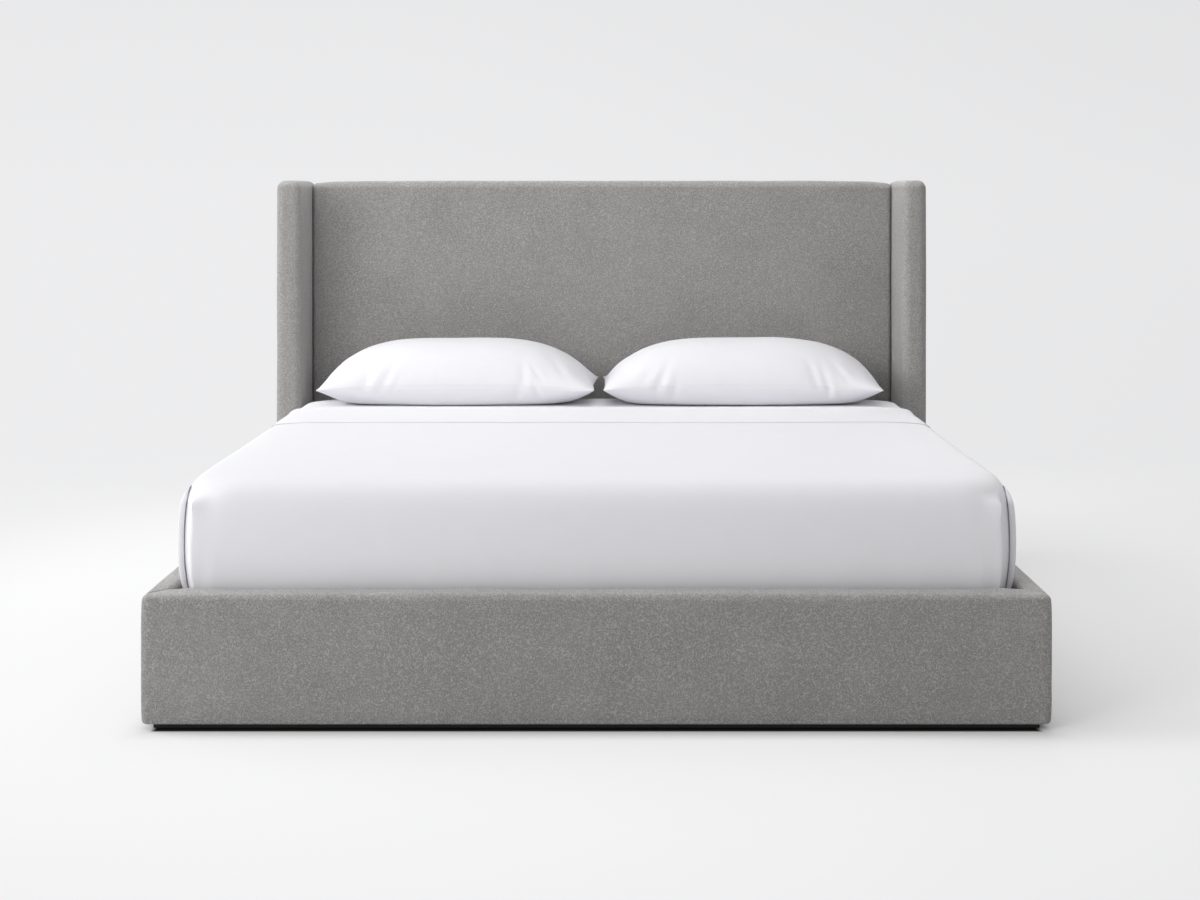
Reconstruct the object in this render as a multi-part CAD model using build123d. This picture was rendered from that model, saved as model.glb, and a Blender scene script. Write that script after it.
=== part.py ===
# Upholstered wingback bed for a king mattress, made up with sheets and two pillows.
# The origin is on the floor under the middle of the bed. The foot is at -Y,
# the headboard at +Y, and the bed is the same on both sides of X = 0.
from build123d import *
import os

os.makedirs("parts", exist_ok=True)

# Mattress and bedding, which set the size of the frame
mattress_width = 1924.0
mattress_length = 2024.0
mattress_height = 302.0
mattress_roundness = 100.0
mattress_side_gap = 4.4
mattress_end_gap = 3.65
sheet_thickness = 1.5
layer_gap = 0.3

# Upholstered frame
floor_gap = 13.0
rail_height = 290.0
rail_thickness = 50.0
footboard_thickness = 76.0
wing_thickness = 76.0
wing_reach = 250.0
headboard_thickness = 95.0
headboard_height = 1235.0
mattress_recess = 65.0
fabric_thickness = 1.5
fabric_return = 9.0
seat_gap = 0.3
overrun = 20.0

# Rounded edges of the upholstery
foot_corner_radius = 16.0
rail_top_radius = 13.0
rail_bottom_radius = 7.0
wing_front_radius = 27.0
wing_top_radius = 25.0
headboard_top_radius = 24.0
headboard_end_radius = 7.0
corner_wrap = 20.0

# Foam and timber inside the rails, footboard, wings and headboard
rail_board_thickness = 25.0
rail_inner_foam = 6.0
rail_top_foam = 10.0
footboard_board_thickness = 42.0
footboard_front_foam = 22.0
wing_side_foam = 14.0
wing_front_foam = 24.0
wing_top_foam = 16.0
wing_stud_width = 60.0
headboard_foam = 40.0
headboard_top_foam = 14.0
panel_thickness = 9.0
post_width = 60.0
cross_rail_height = 80.0
cross_rail_count = 4
back_cloth_thickness = 1.0
back_cloth_margin = 22.0

# Slatted base
slat_thickness = 18.0
slat_width = 70.0
slat_count = 15
slat_end_gap = 3.0
slat_margin = 12.0
strap_width = 25.0
strap_thickness = 1.0
strap_place = 640.0
ledger_width = 25.0
ledger_height = 40.0
beam_width = 40.0
beam_height = 70.0
hanger_thickness = 2.5
hanger_depth = 45.0
hanger_flange = 18.0
hanger_drop = 6.0

# Centre legs with levelling feet
leg_width = 40.0
leg_count = 3
leg_spacing = 640.0
leg_bevel = 4.0
stem_radius = 5.0
stem_fit = 0.3
stem_in_leg = 40.0
thread_pitch = 1.5
leveller_turns = 6.0
hex_across_flats = 17.0
hex_height = 6.0
pad_radius = 22.0
pad_height = 7.0
pad_socket_radius = 9.0
pad_socket_height = 13.0
pad_floor = 3.0

# Black strips that the frame stands on
runner_inset = 1.0
runner_end_inset = 25.0
glide_length = 50.0

# Steel joints with their bolts, inserts and screws
bracket_leg = 60.0
bracket_height = 120.0
bracket_thickness = 4.0
bracket_floor = 45.0
plate_length = 200.0
bolt_radius = 4.0
bolt_fit = 0.2
bolt_head_radius = 8.0
bolt_head_height = 5.0
bolt_grip = 18.0
insert_radius = 7.0
insert_length = 16.0
bolt_height_shares = (0.25, 0.75)
bolt_reach_share = 0.6
plate_bolt_share = 0.32
screw_radius = 2.5
screw_head_radius = 5.0
screw_head_height = 2.5
screw_grip = 15.0
screw_count = 5

# Bed linen: where the top sheet is turned back, and its folded foot corners
sheet_fold_from_headboard = 540.0
sheet_turnback = 361.0
sheet_tuck_rise = 30.0
tuck_width = 180.0
pleat_from_foot = 47.0
pleat_length = 260.0
pleat_drop = 42.0

# Pillows, each a little shorter than its half of the bed
pillow_gap = 26.0
pillow_end_margin = 87.0
pillow_length = mattress_width / 2 - pillow_gap / 2 - pillow_end_margin
pillow_depth = 462.0
pillow_rise = 146.0
pillow_sag = 54.0
pillow_centre = pillow_gap / 2 + pillow_length / 2
pillow_from_headboard = 46.0
case_thickness = 1.2
pillow_fit = 0.6
case_mouth = 14.0
case_mouth_height = 5.0

# Places that follow from the sizes above
fitted_inner = layer_gap
fitted_outer = fitted_inner + sheet_thickness
flat_inner = fitted_outer + layer_gap
flat_outer = flat_inner + sheet_thickness
turned_inner = flat_outer + layer_gap
turned_outer = turned_inner + sheet_thickness

inner_half = mattress_width / 2 + flat_outer + mattress_side_gap
outer_half = inner_half + rail_thickness
wing_outer = inner_half + wing_thickness
inner_length = mattress_length + 2 * (flat_outer + mattress_end_gap)
overall_length = footboard_thickness + inner_length + headboard_thickness
foot_front = -overall_length / 2
foot_rear = foot_front + footboard_thickness
headboard_face = foot_rear + inner_length
bed_back = overall_length / 2
wing_front = headboard_face - wing_reach

frame_bottom = floor_gap
board_bottom = frame_bottom + fabric_thickness
rail_top = floor_gap + rail_height
headboard_top = floor_gap + headboard_height
slat_top = rail_top - mattress_recess
slat_bottom = slat_top - slat_thickness
mattress_bottom = slat_top + flat_outer + seat_gap
mattress_top = mattress_bottom + mattress_height
mattress_middle = (foot_rear + headboard_face) / 2

rail_board_inner = inner_half + fabric_thickness + rail_inner_foam
rail_board_outer = rail_board_inner + rail_board_thickness
footboard_board_front = foot_front + fabric_thickness + footboard_front_foam
footboard_board_rear = footboard_board_front + footboard_board_thickness
wing_core_inner = inner_half + fabric_thickness + wing_side_foam
wing_core_outer = wing_outer - fabric_thickness - wing_side_foam
wing_core_front = wing_front + fabric_thickness + wing_front_foam
wing_core_top = headboard_top - fabric_thickness - wing_top_foam
panel_front = headboard_face + fabric_thickness + headboard_foam
panel_rear = panel_front + panel_thickness
headboard_half = inner_half - seat_gap
core_half = headboard_half - fabric_thickness
core_top = headboard_top - fabric_thickness - headboard_top_foam


def block(x_from, x_to, y_from, y_to, z_from, z_to):
    """A box given by its six faces."""
    size = (x_to - x_from, y_to - y_from, z_to - z_from)
    middle = ((x_from + x_to) / 2, (y_from + y_to) / 2, (z_from + z_to) / 2)
    return Pos(*middle) * Box(*size)


def on_side(solid, side):
    """A solid drawn on the right, or its mirror image on the left."""
    if side > 0:
        return solid
    return mirror(solid, about=Plane.YZ)


def save(name, *shapes):
    """Write one node, of one or more separate solids."""
    solids = [solid for shape in shapes for solid in shape.solids()]
    piece = solids[0] if len(solids) == 1 else Compound(children=solids)
    export_step(piece, f"parts/{name}.step")


def along_x(radius, x_from, x_to, y, z):
    """A round bar along X."""
    length = x_to - x_from
    return Pos((x_from + x_to) / 2, y, z) * Rot(0, 90, 0) * Cylinder(radius, length)


def along_y(radius, y_from, y_to, x, z):
    """A round bar along Y."""
    length = y_to - y_from
    return Pos(x, (y_from + y_to) / 2, z) * Rot(90, 0, 0) * Cylinder(radius, length)


# The foot corner. The footboard wraps round the vertical edge, and behind it
# the side rail meets the footboard on a slanting line across the top.
def behind_mitre(side, offset):
    """The space on the rail's side of the mitre line, moved back by offset."""
    outer = Vector(outer_half, foot_front + corner_wrap)
    inner = Vector(inner_half, foot_rear)
    run = (inner - outer).normalized()
    back = Vector(run.Y, -run.X) * offset
    first = outer - run * overrun + back
    last = inner + run * overrun + back
    away = Vector(0, overall_length)
    outline = Polyline(first, last, last + away, first + away, close=True)
    prism = extrude(make_face(outline), rail_top + overrun)
    return on_side(prism, side)


def footboard_form(shrink):
    """The footboard's outer shape, or that shape made smaller all round."""
    half = outer_half - shrink
    body = block(-half, half, foot_front + shrink, foot_rear - shrink,
                 frame_bottom + shrink, rail_top - shrink)
    front_corners = body.edges().filter_by(Axis.Z).group_by(Axis.Y)[0]
    body = fillet(front_corners, foot_corner_radius - shrink)
    body = fillet(body.faces().sort_by(Axis.Z)[-1].edges(), rail_top_radius - shrink)
    body = fillet(body.faces().sort_by(Axis.Z)[0].edges(), rail_bottom_radius - shrink)
    for side in (-1, 1):
        body -= behind_mitre(side, -(seat_gap / 2 + shrink))
    return body


def wing_form(side, shrink):
    """One wing of the headboard, rounded along its front and top."""
    body = block(inner_half + shrink, wing_outer - shrink,
                 wing_front + shrink, bed_back - shrink,
                 frame_bottom + shrink, headboard_top - shrink)
    front_corners = body.edges().filter_by(Axis.Z).group_by(Axis.Y)[0]
    body = fillet(front_corners, wing_front_radius - shrink)
    body = fillet(body.faces().sort_by(Axis.Z)[-1].edges(), wing_top_radius - shrink)
    bottom_edges = body.faces().sort_by(Axis.Z)[0].edges().sort_by(Axis.Y)[:-1]
    body = fillet(bottom_edges, rail_bottom_radius - shrink)
    return on_side(body, side)


def rail_form(side, shrink):
    """A side rail, mitred at the foot and shaped to the wing at the head."""
    body = block(inner_half + shrink, outer_half - shrink,
                 foot_front, wing_front + wing_front_radius,
                 frame_bottom + shrink, rail_top - shrink)
    long_edges = body.edges().filter_by(Axis.Y)
    body = fillet(long_edges.group_by(Axis.Z)[-1], rail_top_radius - shrink)
    long_edges = body.edges().filter_by(Axis.Y)
    body = fillet(long_edges.group_by(Axis.Z)[0], rail_bottom_radius - shrink)
    body &= behind_mitre(1, seat_gap / 2 + shrink)
    body -= wing_form(1, -(seat_gap + shrink))
    return on_side(body, side)


def headboard_form(shrink):
    """The upright panel between the wings, rounded along its top."""
    half = headboard_half - shrink
    body = block(-half, half, headboard_face + shrink, bed_back - shrink,
                 frame_bottom + shrink, headboard_top - shrink)
    top_front = body.edges().filter_by(Axis.X).group_by(Axis.Z)[-1].sort_by(Axis.Y)[0]
    body = fillet(top_front, headboard_top_radius - shrink)
    for end in (0, -1):
        end_edges = body.faces().sort_by(Axis.X)[end].edges()
        front_edge = end_edges.sort_by(Axis.Y)[0]
        top_edge = end_edges.sort_by(Axis.Z)[-1]
        curve = end_edges.filter_by(GeomType.CIRCLE)[0]
        body = fillet([front_edge, curve, top_edge], headboard_end_radius - shrink)
    return body


# Bolts. Each runs through a steel plate, the cover and the foam into an
# insert in the timber, and each of those pieces has its hole for it.
def bracket_bolt_places():
    """Each right-hand bolt: its axis, its place along the joint, its height, and
    1 where it goes into a rail or the footboard or 2 where it goes into a wing."""
    heights = [bracket_floor + bracket_height * share for share in bolt_height_shares]
    places = []
    for height in heights:
        places.append(("x", foot_rear + bracket_leg * bolt_reach_share, height, 1))
        places.append(("x", wing_front - plate_length * plate_bolt_share, height, 1))
        places.append(("x", wing_front + plate_length * plate_bolt_share, height, 2))
        places.append(("y", inner_half - bracket_leg * bolt_reach_share, height, 1))
    return places


def joint_bolt(axis, along, height, kind, part):
    """One bolt's head or shank, its insert or its hole, on the right-hand side."""
    if axis == "y":
        seat = -(foot_rear + bracket_thickness)
        timber = -footboard_board_rear
    else:
        seat = inner_half - bracket_thickness
        timber = rail_board_inner if kind == 1 else wing_core_inner
    lengths = {
        "head": (bolt_head_radius, seat - bolt_head_height, seat),
        "shank": (bolt_radius, seat, timber + bolt_grip),
        "hole": (bolt_radius + bolt_fit, seat - overrun, timber + bolt_grip + bolt_fit),
        "insert": (insert_radius, timber, timber + insert_length),
    }
    radius, start, end = lengths[part]
    if axis == "y":
        return along_y(radius, -end, -start, along, height)
    return along_x(radius, start, end, along, height)


def joint_parts(part, axis=None, kind=None):
    """The same part of every joint bolt on the right-hand side."""
    picked = []
    for place_axis, along, height, place_kind in bracket_bolt_places():
        if axis in (None, place_axis) and kind in (None, place_kind):
            picked.append(joint_bolt(place_axis, along, height, place_kind, part))
    return picked


def cut_all(body, tools):
    """Take each tool out of the body."""
    for tool in tools:
        body -= tool
    return body


# Screws along each ledger and bolts that hold the wings to the headboard
def ledger_screw_places():
    """Where along Y the ledger screws stand."""
    usable = wing_front - foot_rear
    pitch = usable / screw_count
    return [foot_rear + pitch * (index + 0.5) for index in range(screw_count)]


ledger_middle = slat_bottom - ledger_height / 2
ledger_inner = inner_half - ledger_width
post_middle = (panel_rear + bed_back - fabric_thickness) / 2
wing_bolt_start = core_half - post_width


def cross_rail_bottoms():
    """Heights of the undersides of the headboard's cross rails."""
    step = (core_top - board_bottom - cross_rail_height) / (cross_rail_count - 1)
    return [board_bottom + step * index for index in range(cross_rail_count)]


def wing_bolt_heights():
    """Heights of the bolts through each post, midway between the cross rails."""
    bottoms = cross_rail_bottoms()
    return [(low + cross_rail_height + next_low) / 2 for low, next_low in zip(bottoms, bottoms[1:])]


def ledger_screw_holes():
    """Clearance holes for the ledger screws, on the right-hand side."""
    tip = rail_board_inner + screw_grip
    return [along_x(screw_radius + bolt_fit, ledger_inner - overrun, tip + bolt_fit, y, ledger_middle)
            for y in ledger_screw_places()]


def wing_bolt_holes():
    """Clearance holes for the wing bolts, on the right-hand side."""
    tip = wing_core_inner + bolt_grip
    return [along_x(bolt_radius + bolt_fit, wing_bolt_start - overrun, tip + bolt_fit, post_middle, z)
            for z in wing_bolt_heights()]


# Side rails: a board with foam round it and a fabric cover
def make_rails():
    """Boards, foam and covers of the two side rails."""
    holes = joint_parts("hole", "x", 1) + ledger_screw_holes()
    inserts = joint_parts("insert", "x", 1)
    board = block(rail_board_inner, rail_board_outer, foot_front, wing_front + wing_front_radius,
                  board_bottom, rail_top - fabric_thickness - rail_top_foam)
    board &= behind_mitre(1, seat_gap / 2 + fabric_thickness)
    board -= wing_form(1, -(seat_gap + fabric_thickness))
    padding = rail_form(1, fabric_thickness) - board
    window = block(rail_board_inner, rail_board_outer,
                   foot_rear + fabric_return, wing_front - fabric_return,
                   0, board_bottom)
    cover = rail_form(1, 0) - rail_form(1, fabric_thickness) - window
    board = cut_all(board, holes + inserts)
    padding = cut_all(padding, holes)
    cover = cut_all(cover, holes)
    for side, name in ((-1, "left"), (1, "right")):
        save(f"{name}_rail_board", on_side(board, side))
        save(f"{name}_rail_padding", on_side(padding, side))
        save(f"{name}_rail_cover", on_side(cover, side))


# Footboard: a thick board with deeper foam in front
def make_footboard():
    """Board, foam and cover across the foot of the bed."""
    board = block(-rail_board_outer, rail_board_outer, footboard_board_front, footboard_board_rear,
                  board_bottom, rail_top - fabric_thickness - rail_top_foam)
    holes = []
    inserts = []
    for side in (-1, 1):
        board -= behind_mitre(side, -(seat_gap / 2 + fabric_thickness))
        holes += [on_side(tool, side) for tool in joint_parts("hole", "y")]
        inserts += [on_side(tool, side) for tool in joint_parts("insert", "y")]
    padding = footboard_form(fabric_thickness) - board
    window_half = inner_half - fabric_return
    window = block(-window_half, window_half, footboard_board_front, footboard_board_rear,
                   0, board_bottom)
    cover = footboard_form(0) - footboard_form(fabric_thickness) - window
    save("footboard_board", cut_all(board, holes + inserts))
    save("footboard_padding", cut_all(padding, holes))
    save("footboard_cover", cut_all(cover, holes))


# Wings: a ladder frame of studs inside foam, with a fabric cover
def make_wings():
    """Timber frames, foam and covers of the two wings."""
    rear = bed_back - fabric_thickness
    core = block(wing_core_inner, wing_core_outer, wing_core_front, rear,
                 board_bottom, wing_core_top)
    core &= wing_form(1, fabric_thickness)
    padding = wing_form(1, fabric_thickness) - core
    window_front = wing_core_front + wing_stud_width
    window_rear = rear - wing_stud_width
    ladder_height = wing_core_top - board_bottom
    bay_count = 2
    bay_height = (ladder_height - wing_stud_width * (bay_count + 1)) / bay_count
    for index in range(bay_count):
        low = board_bottom + wing_stud_width + index * (bay_height + wing_stud_width)
        core -= block(wing_core_inner - overrun, wing_core_outer + overrun,
                      window_front, window_rear, low, low + bay_height)
    window = block(wing_core_inner, wing_core_outer, wing_core_front, rear, 0, board_bottom)
    cover = wing_form(1, 0) - wing_form(1, fabric_thickness) - window
    holes = joint_parts("hole", "x", 2) + wing_bolt_holes()
    inserts = joint_parts("insert", "x", 2) + wing_inserts()
    core = cut_all(core, holes + inserts)
    padding = cut_all(padding, holes)
    cover = cut_all(cover, holes)
    for side, name in ((-1, "left"), (1, "right")):
        save(f"{name}_wing_core", on_side(core, side))
        save(f"{name}_wing_padding", on_side(padding, side))
        save(f"{name}_wing_cover", on_side(cover, side))


def wing_inserts():
    """Solid sleeves in the right wing's rear stud, one for each wing bolt."""
    return [along_x(insert_radius, wing_core_inner, wing_core_inner + insert_length, post_middle, z)
            for z in wing_bolt_heights()]


# Headboard: two posts and cross rails carry a plywood panel, with foam in
# front, a fabric cover turned in at the back, and a thin cloth over the back
def make_headboard():
    """Frame, panel, foam, cover and back cloth of the headboard."""
    rear = bed_back - fabric_thickness
    holes = []
    for side in (-1, 1):
        holes += [on_side(tool, side) for tool in wing_bolt_holes()]
    posts = []
    for side in (-1, 1):
        post = block(core_half - post_width, core_half, panel_rear, rear, board_bottom, core_top)
        posts.append(cut_all(on_side(post, side), holes))
    save("headboard_posts", *posts)

    rails = []
    rail_half = core_half - post_width
    for low in cross_rail_bottoms():
        rails.append(block(-rail_half, rail_half, panel_rear, rear, low, low + cross_rail_height))
    save("headboard_cross_rails", *rails)

    panel = block(-core_half, core_half, panel_front, panel_rear, board_bottom, core_top)
    save("headboard_panel", panel)

    inside = block(-core_half, core_half, panel_front, rear, board_bottom, core_top)
    padding = headboard_form(fabric_thickness) - inside
    save("headboard_padding", padding)

    cloth_half = core_half - back_cloth_margin
    cloth_low = board_bottom + back_cloth_margin
    cloth_high = core_top - back_cloth_margin
    back_window = block(-cloth_half, cloth_half, rear, bed_back + overrun, cloth_low, cloth_high)
    floor_window = block(-core_half, core_half, panel_front, rear, 0, board_bottom)
    cover = headboard_form(0) - headboard_form(fabric_thickness) - back_window - floor_window
    save("headboard_cover", cut_all(cover, holes))

    cloth = block(-cloth_half + seat_gap, cloth_half - seat_gap, rear, rear + back_cloth_thickness,
                  cloth_low + seat_gap, cloth_high - seat_gap)
    save("headboard_back_cloth", cloth)


# Steel joints at the corners
def make_joints():
    """Angle brackets at the foot, flat plates at the head, and their bolts."""
    low = bracket_floor
    high = bracket_floor + bracket_height
    holes = joint_parts("hole")
    angle = block(inner_half - bracket_thickness, inner_half, foot_rear, foot_rear + bracket_leg, low, high)
    angle += block(inner_half - bracket_leg, inner_half, foot_rear, foot_rear + bracket_thickness, low, high)
    plate = block(inner_half - bracket_thickness, inner_half,
                  wing_front - plate_length / 2, wing_front + plate_length / 2, low, high)
    angle = cut_all(angle, holes)
    plate = cut_all(plate, holes)
    save("foot_corner_brackets", *[on_side(angle, side) for side in (-1, 1)])
    save("head_joint_plates", *[on_side(plate, side) for side in (-1, 1)])

    bolts = []
    inserts = []
    for head, shank, insert in zip(joint_parts("head"), joint_parts("shank"), joint_parts("insert")):
        bolt = head + shank
        for side in (-1, 1):
            bolts.append(on_side(bolt, side))
            inserts.append(on_side(cut_all(insert, holes), side))
    save("joint_bolts", *bolts)
    save("joint_inserts", *inserts)

    wing_bolts = []
    wing_sleeves = []
    tip = wing_core_inner + bolt_grip
    for height, sleeve in zip(wing_bolt_heights(), wing_inserts()):
        bolt = along_x(bolt_head_radius, wing_bolt_start - bolt_head_height, wing_bolt_start,
                       post_middle, height)
        bolt += along_x(bolt_radius, wing_bolt_start, tip, post_middle, height)
        for side in (-1, 1):
            wing_bolts.append(on_side(bolt, side))
            wing_sleeves.append(on_side(cut_all(sleeve, wing_bolt_holes()), side))
    save("wing_bolts", *wing_bolts)
    save("wing_inserts", *wing_sleeves)


# Slatted base: ledgers, slats on two straps, and a beam on three legs
def make_base():
    """Ledgers, screws, slats, straps, beam and hangers."""
    ledger = block(ledger_inner, inner_half, foot_rear + bracket_thickness,
                   headboard_face - bracket_thickness, slat_bottom - ledger_height, slat_bottom)
    ledger = cut_all(ledger, ledger_screw_holes())
    save("left_ledger", on_side(ledger, -1))
    save("right_ledger", ledger)
    screws = []
    tip = rail_board_inner + screw_grip
    for y in ledger_screw_places():
        screw = along_x(screw_head_radius, ledger_inner - screw_head_height, ledger_inner, y, ledger_middle)
        screw += along_x(screw_radius, ledger_inner, tip, y, ledger_middle)
        screws += [on_side(screw, side) for side in (-1, 1)]
    save("ledger_screws", *screws)

    slat_half = inner_half - slat_end_gap
    first = foot_rear + slat_margin
    pitch = (inner_length - 2 * slat_margin - slat_width) / (slat_count - 1)
    slats = []
    for index in range(slat_count):
        start = first + pitch * index
        slats.append(block(-slat_half, slat_half, start, start + slat_width, slat_bottom, slat_top))
    save("slats", *slats)

    straps = []
    for side in (-1, 1):
        strap = block(strap_place - strap_width / 2, strap_place + strap_width / 2,
                      first, headboard_face - slat_margin,
                      slat_bottom - strap_thickness, slat_bottom)
        straps.append(on_side(strap, side))
    save("slat_straps", *straps)

    beam_half = beam_width / 2
    beam_bottom = slat_bottom - beam_height
    beam = block(-beam_half, beam_half, foot_rear + hanger_thickness + seat_gap,
                 headboard_face - hanger_thickness - seat_gap, beam_bottom, slat_bottom)
    save("centre_beam", beam)

    cheek = beam_half + seat_gap + hanger_thickness
    hangers = []
    for face, inward in ((foot_rear, 1), (headboard_face, -1)):
        back_end = face + inward * hanger_thickness
        front_end = face + inward * hanger_depth
        y_low, y_high = sorted((face, front_end))
        b_low, b_high = sorted((face, back_end))
        hanger_top = slat_bottom - hanger_drop
        shoe = block(-cheek, cheek, y_low, y_high, beam_bottom - hanger_thickness, hanger_top)
        shoe -= block(-beam_half - seat_gap, beam_half + seat_gap, y_low - overrun, y_high + overrun,
                      beam_bottom, hanger_top + overrun)
        shoe += block(-cheek - hanger_flange, cheek + hanger_flange, b_low, b_high,
                      beam_bottom - hanger_thickness, hanger_top)
        hangers.append(shoe)
    save("beam_hangers", *hangers)


def make_legs():
    """Centre legs with threaded stems and swivelling pads."""
    beam_bottom = slat_bottom - beam_height
    travel = thread_pitch * leveller_turns
    hex_bottom = pad_socket_height + stem_fit
    hex_top = hex_bottom + hex_height
    leg_bottom = hex_top + travel + seat_gap
    leg_half = leg_width / 2
    for index in range(leg_count):
        place = Pos(0, mattress_middle + (index - (leg_count - 1) / 2) * leg_spacing, 0)
        leg = block(-leg_half, leg_half, -leg_half, leg_half, leg_bottom, beam_bottom)
        leg = chamfer(leg.faces().sort_by(Axis.Z)[0].edges(), leg_bevel)
        bore_top = leg_bottom + stem_in_leg
        bore = Pos(0, 0, bore_top / 2) * Cylinder(stem_radius + stem_fit, bore_top)
        leg -= bore
        stem_top = bore_top - travel - stem_fit
        stem_bottom = pad_floor + stem_fit
        stem = Pos(0, 0, (stem_bottom + stem_top) / 2) * Cylinder(stem_radius, stem_top - stem_bottom)
        hexagon = RegularPolygon(hex_across_flats / 2, 6, major_radius=False)
        stem += Pos(0, 0, hex_bottom) * extrude(hexagon, hex_height)
        pad = Pos(0, 0, pad_height / 2) * Cylinder(pad_radius, pad_height)
        pad = chamfer(pad.edges().filter_by(GeomType.CIRCLE).sort_by(Axis.Z)[-1], pad_height / 3)
        pad += Pos(0, 0, pad_socket_height / 2) * Cylinder(pad_socket_radius, pad_socket_height)
        socket_depth = pad_socket_height - pad_floor
        pad -= Pos(0, 0, pad_floor + socket_depth / 2) * Cylinder(stem_radius + stem_fit, socket_depth)
        number = index + 1
        save(f"centre_leg_{number}", place * leg)
        save(f"leveller_stem_{number}", place * stem)
        save(f"leveller_pad_{number}", place * pad)


# Black strips under the boards, which keep the fabric off the floor
def make_runners():
    """Runners under the footboard and rails, and glides under the headboard."""
    half = inner_half - fabric_return - runner_inset
    front = footboard_board_front + runner_inset
    save("foot_runner", block(-half, half, front, footboard_board_rear - runner_inset, 0, board_bottom))
    runner = block(rail_board_inner + runner_inset, rail_board_outer - runner_inset,
                   foot_rear + runner_end_inset, wing_front - runner_end_inset, 0, board_bottom)
    save("left_runner", on_side(runner, -1))
    save("right_runner", runner)
    glides = []
    rear = bed_back - fabric_thickness
    post_glide = block(core_half - post_width + runner_inset, core_half - runner_inset,
                       panel_rear + runner_inset, rear - runner_inset, 0, board_bottom)
    wing_glide = block(wing_core_inner + runner_inset, wing_core_outer - runner_inset,
                       wing_core_front + runner_inset, wing_core_front + glide_length,
                       0, board_bottom)
    for side in (-1, 1):
        glides += [on_side(post_glide, side), on_side(wing_glide, side)]
    save("headboard_glides", *glides)


# Mattress: rounded sections stacked from the underside to the crown. Each row
# has its height as a share of the mattress, then how far the sides, foot and
# head draw in and the corner radius, as shares of the mattress's roundness.
mattress_shares = (
    (0.000, 0.44, 0.44, 0.44, 0.60),
    (0.040, 0.24, 0.24, 0.24, 0.80),
    (0.149, 0.10, 0.10, 0.10, 0.95),
    (0.331, 0.015, 0.015, 0.015, 1.00),
    (0.497, 0.00, 0.00, 0.00, 1.00),
    (0.679, 0.008, 0.02, 0.02, 1.03),
    (0.821, 0.04, 0.09, 0.12, 1.10),
    (0.914, 0.12, 0.26, 0.42, 1.22),
    (0.964, 0.22, 0.56, 1.20, 1.36),
    (0.985, 0.40, 1.18, 1.90, 1.50),
    (1.000, 1.20, 3.00, 2.80, 1.60),
)


def mattress_form(grow):
    """The mattress's shape, or that shape made larger by a layer of bedding."""
    sections = []
    for rise, side, foot, head, radius in mattress_shares:
        width = mattress_width - 2 * side * mattress_roundness + 2 * grow
        length = mattress_length - (foot + head) * mattress_roundness + 2 * grow
        y = mattress_middle + (foot - head) * mattress_roundness / 2
        z = mattress_bottom + rise * mattress_height + grow * (2 * rise - 1)
        outline = RectangleRounded(width, length, radius * mattress_roundness + grow)
        sections.append(Pos(0, y, z) * outline)
    return loft(sections, ruled=True)


def make_bedding():
    """Mattress, fitted sheet, and top sheet with its turned-back end."""
    mattress = mattress_form(0)
    save("mattress", mattress)

    half_width = mattress_width / 2
    window_half = half_width - tuck_width
    window_length = mattress_length / 2 - tuck_width
    underside = block(-window_half, window_half,
                      mattress_middle - window_length, mattress_middle + window_length,
                      slat_top - overrun, mattress_bottom + overrun)
    fitted = mattress_form(fitted_outer) - mattress_form(fitted_inner) - underside
    save("fitted_sheet", fitted)

    fold = headboard_face - sheet_fold_from_headboard
    hem = fold - sheet_turnback
    high = mattress_top + overrun
    reach = wing_outer
    flat_level = mattress_form(flat_outer)
    flat = flat_level - mattress_form(flat_inner) - underside
    flat -= block(-reach, reach, fold, bed_back, 0, high)
    turned = mattress_form(turned_outer) - flat_level
    tuck = mattress_bottom + sheet_tuck_rise
    folded = turned & block(-reach, reach, hem, fold, tuck, high)
    pleat_start = foot_rear + flat_outer + mattress_end_gap + pleat_from_foot
    pleat_top = mattress_top - pleat_drop
    pleats = turned & block(-reach, reach, pleat_start, pleat_start + pleat_length, tuck, pleat_top)
    save("flat_sheet", flat + folded + pleats)


# Pillows. Level rows from the seam to the crown and to the underside: each has
# its height, then the reach of its ends, its sides and its corners along X and
# along Y, as shares of the pillow's rise or sag and of half its length and depth.
pillow_upper_shares = (
    (0.00, 0.975, 0.900, 1.000, 1.000),
    (0.11, 0.972, 0.900, 0.950, 0.905),
    (0.27, 0.955, 0.875, 0.880, 0.790),
    (0.47, 0.910, 0.810, 0.775, 0.665),
    (0.67, 0.825, 0.705, 0.645, 0.530),
    (0.84, 0.690, 0.560, 0.490, 0.395),
    (0.95, 0.490, 0.370, 0.320, 0.250),
    (1.00, 0.230, 0.150, 0.140, 0.100),
)
pillow_lower_shares = (
    (1.00, 0.780, 0.600, 0.660, 0.460),
    (0.82, 0.865, 0.705, 0.760, 0.590),
    (0.55, 0.930, 0.810, 0.850, 0.730),
    (0.25, 0.965, 0.880, 0.925, 0.865),
    (0.00, 0.975, 0.900, 1.000, 1.000),
)
pillow_underside = mattress_top + fitted_outer + seat_gap
pillow_seam = pillow_underside + pillow_sag
pillow_y = headboard_face - pillow_from_headboard - pillow_depth / 2


def pillow_level(z, end, side, corner_x, corner_y, shrink):
    """One level through the right pillow: four arcs that meet at its corners."""
    x = corner_x * pillow_length / 2 - shrink
    y = corner_y * pillow_depth / 2 - shrink
    x_middle = end * pillow_length / 2 - shrink
    y_middle = side * pillow_depth / 2 - shrink
    arcs = [
        ThreePointArc((x, -y), (x_middle, 0), (x, y)),
        ThreePointArc((x, y), (0, y_middle), (-x, y)),
        ThreePointArc((-x, y), (-x_middle, 0), (-x, -y)),
        ThreePointArc((-x, -y), (0, -y_middle), (x, -y)),
    ]
    return Pos(pillow_centre, pillow_y, z) * make_face(arcs)


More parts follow.
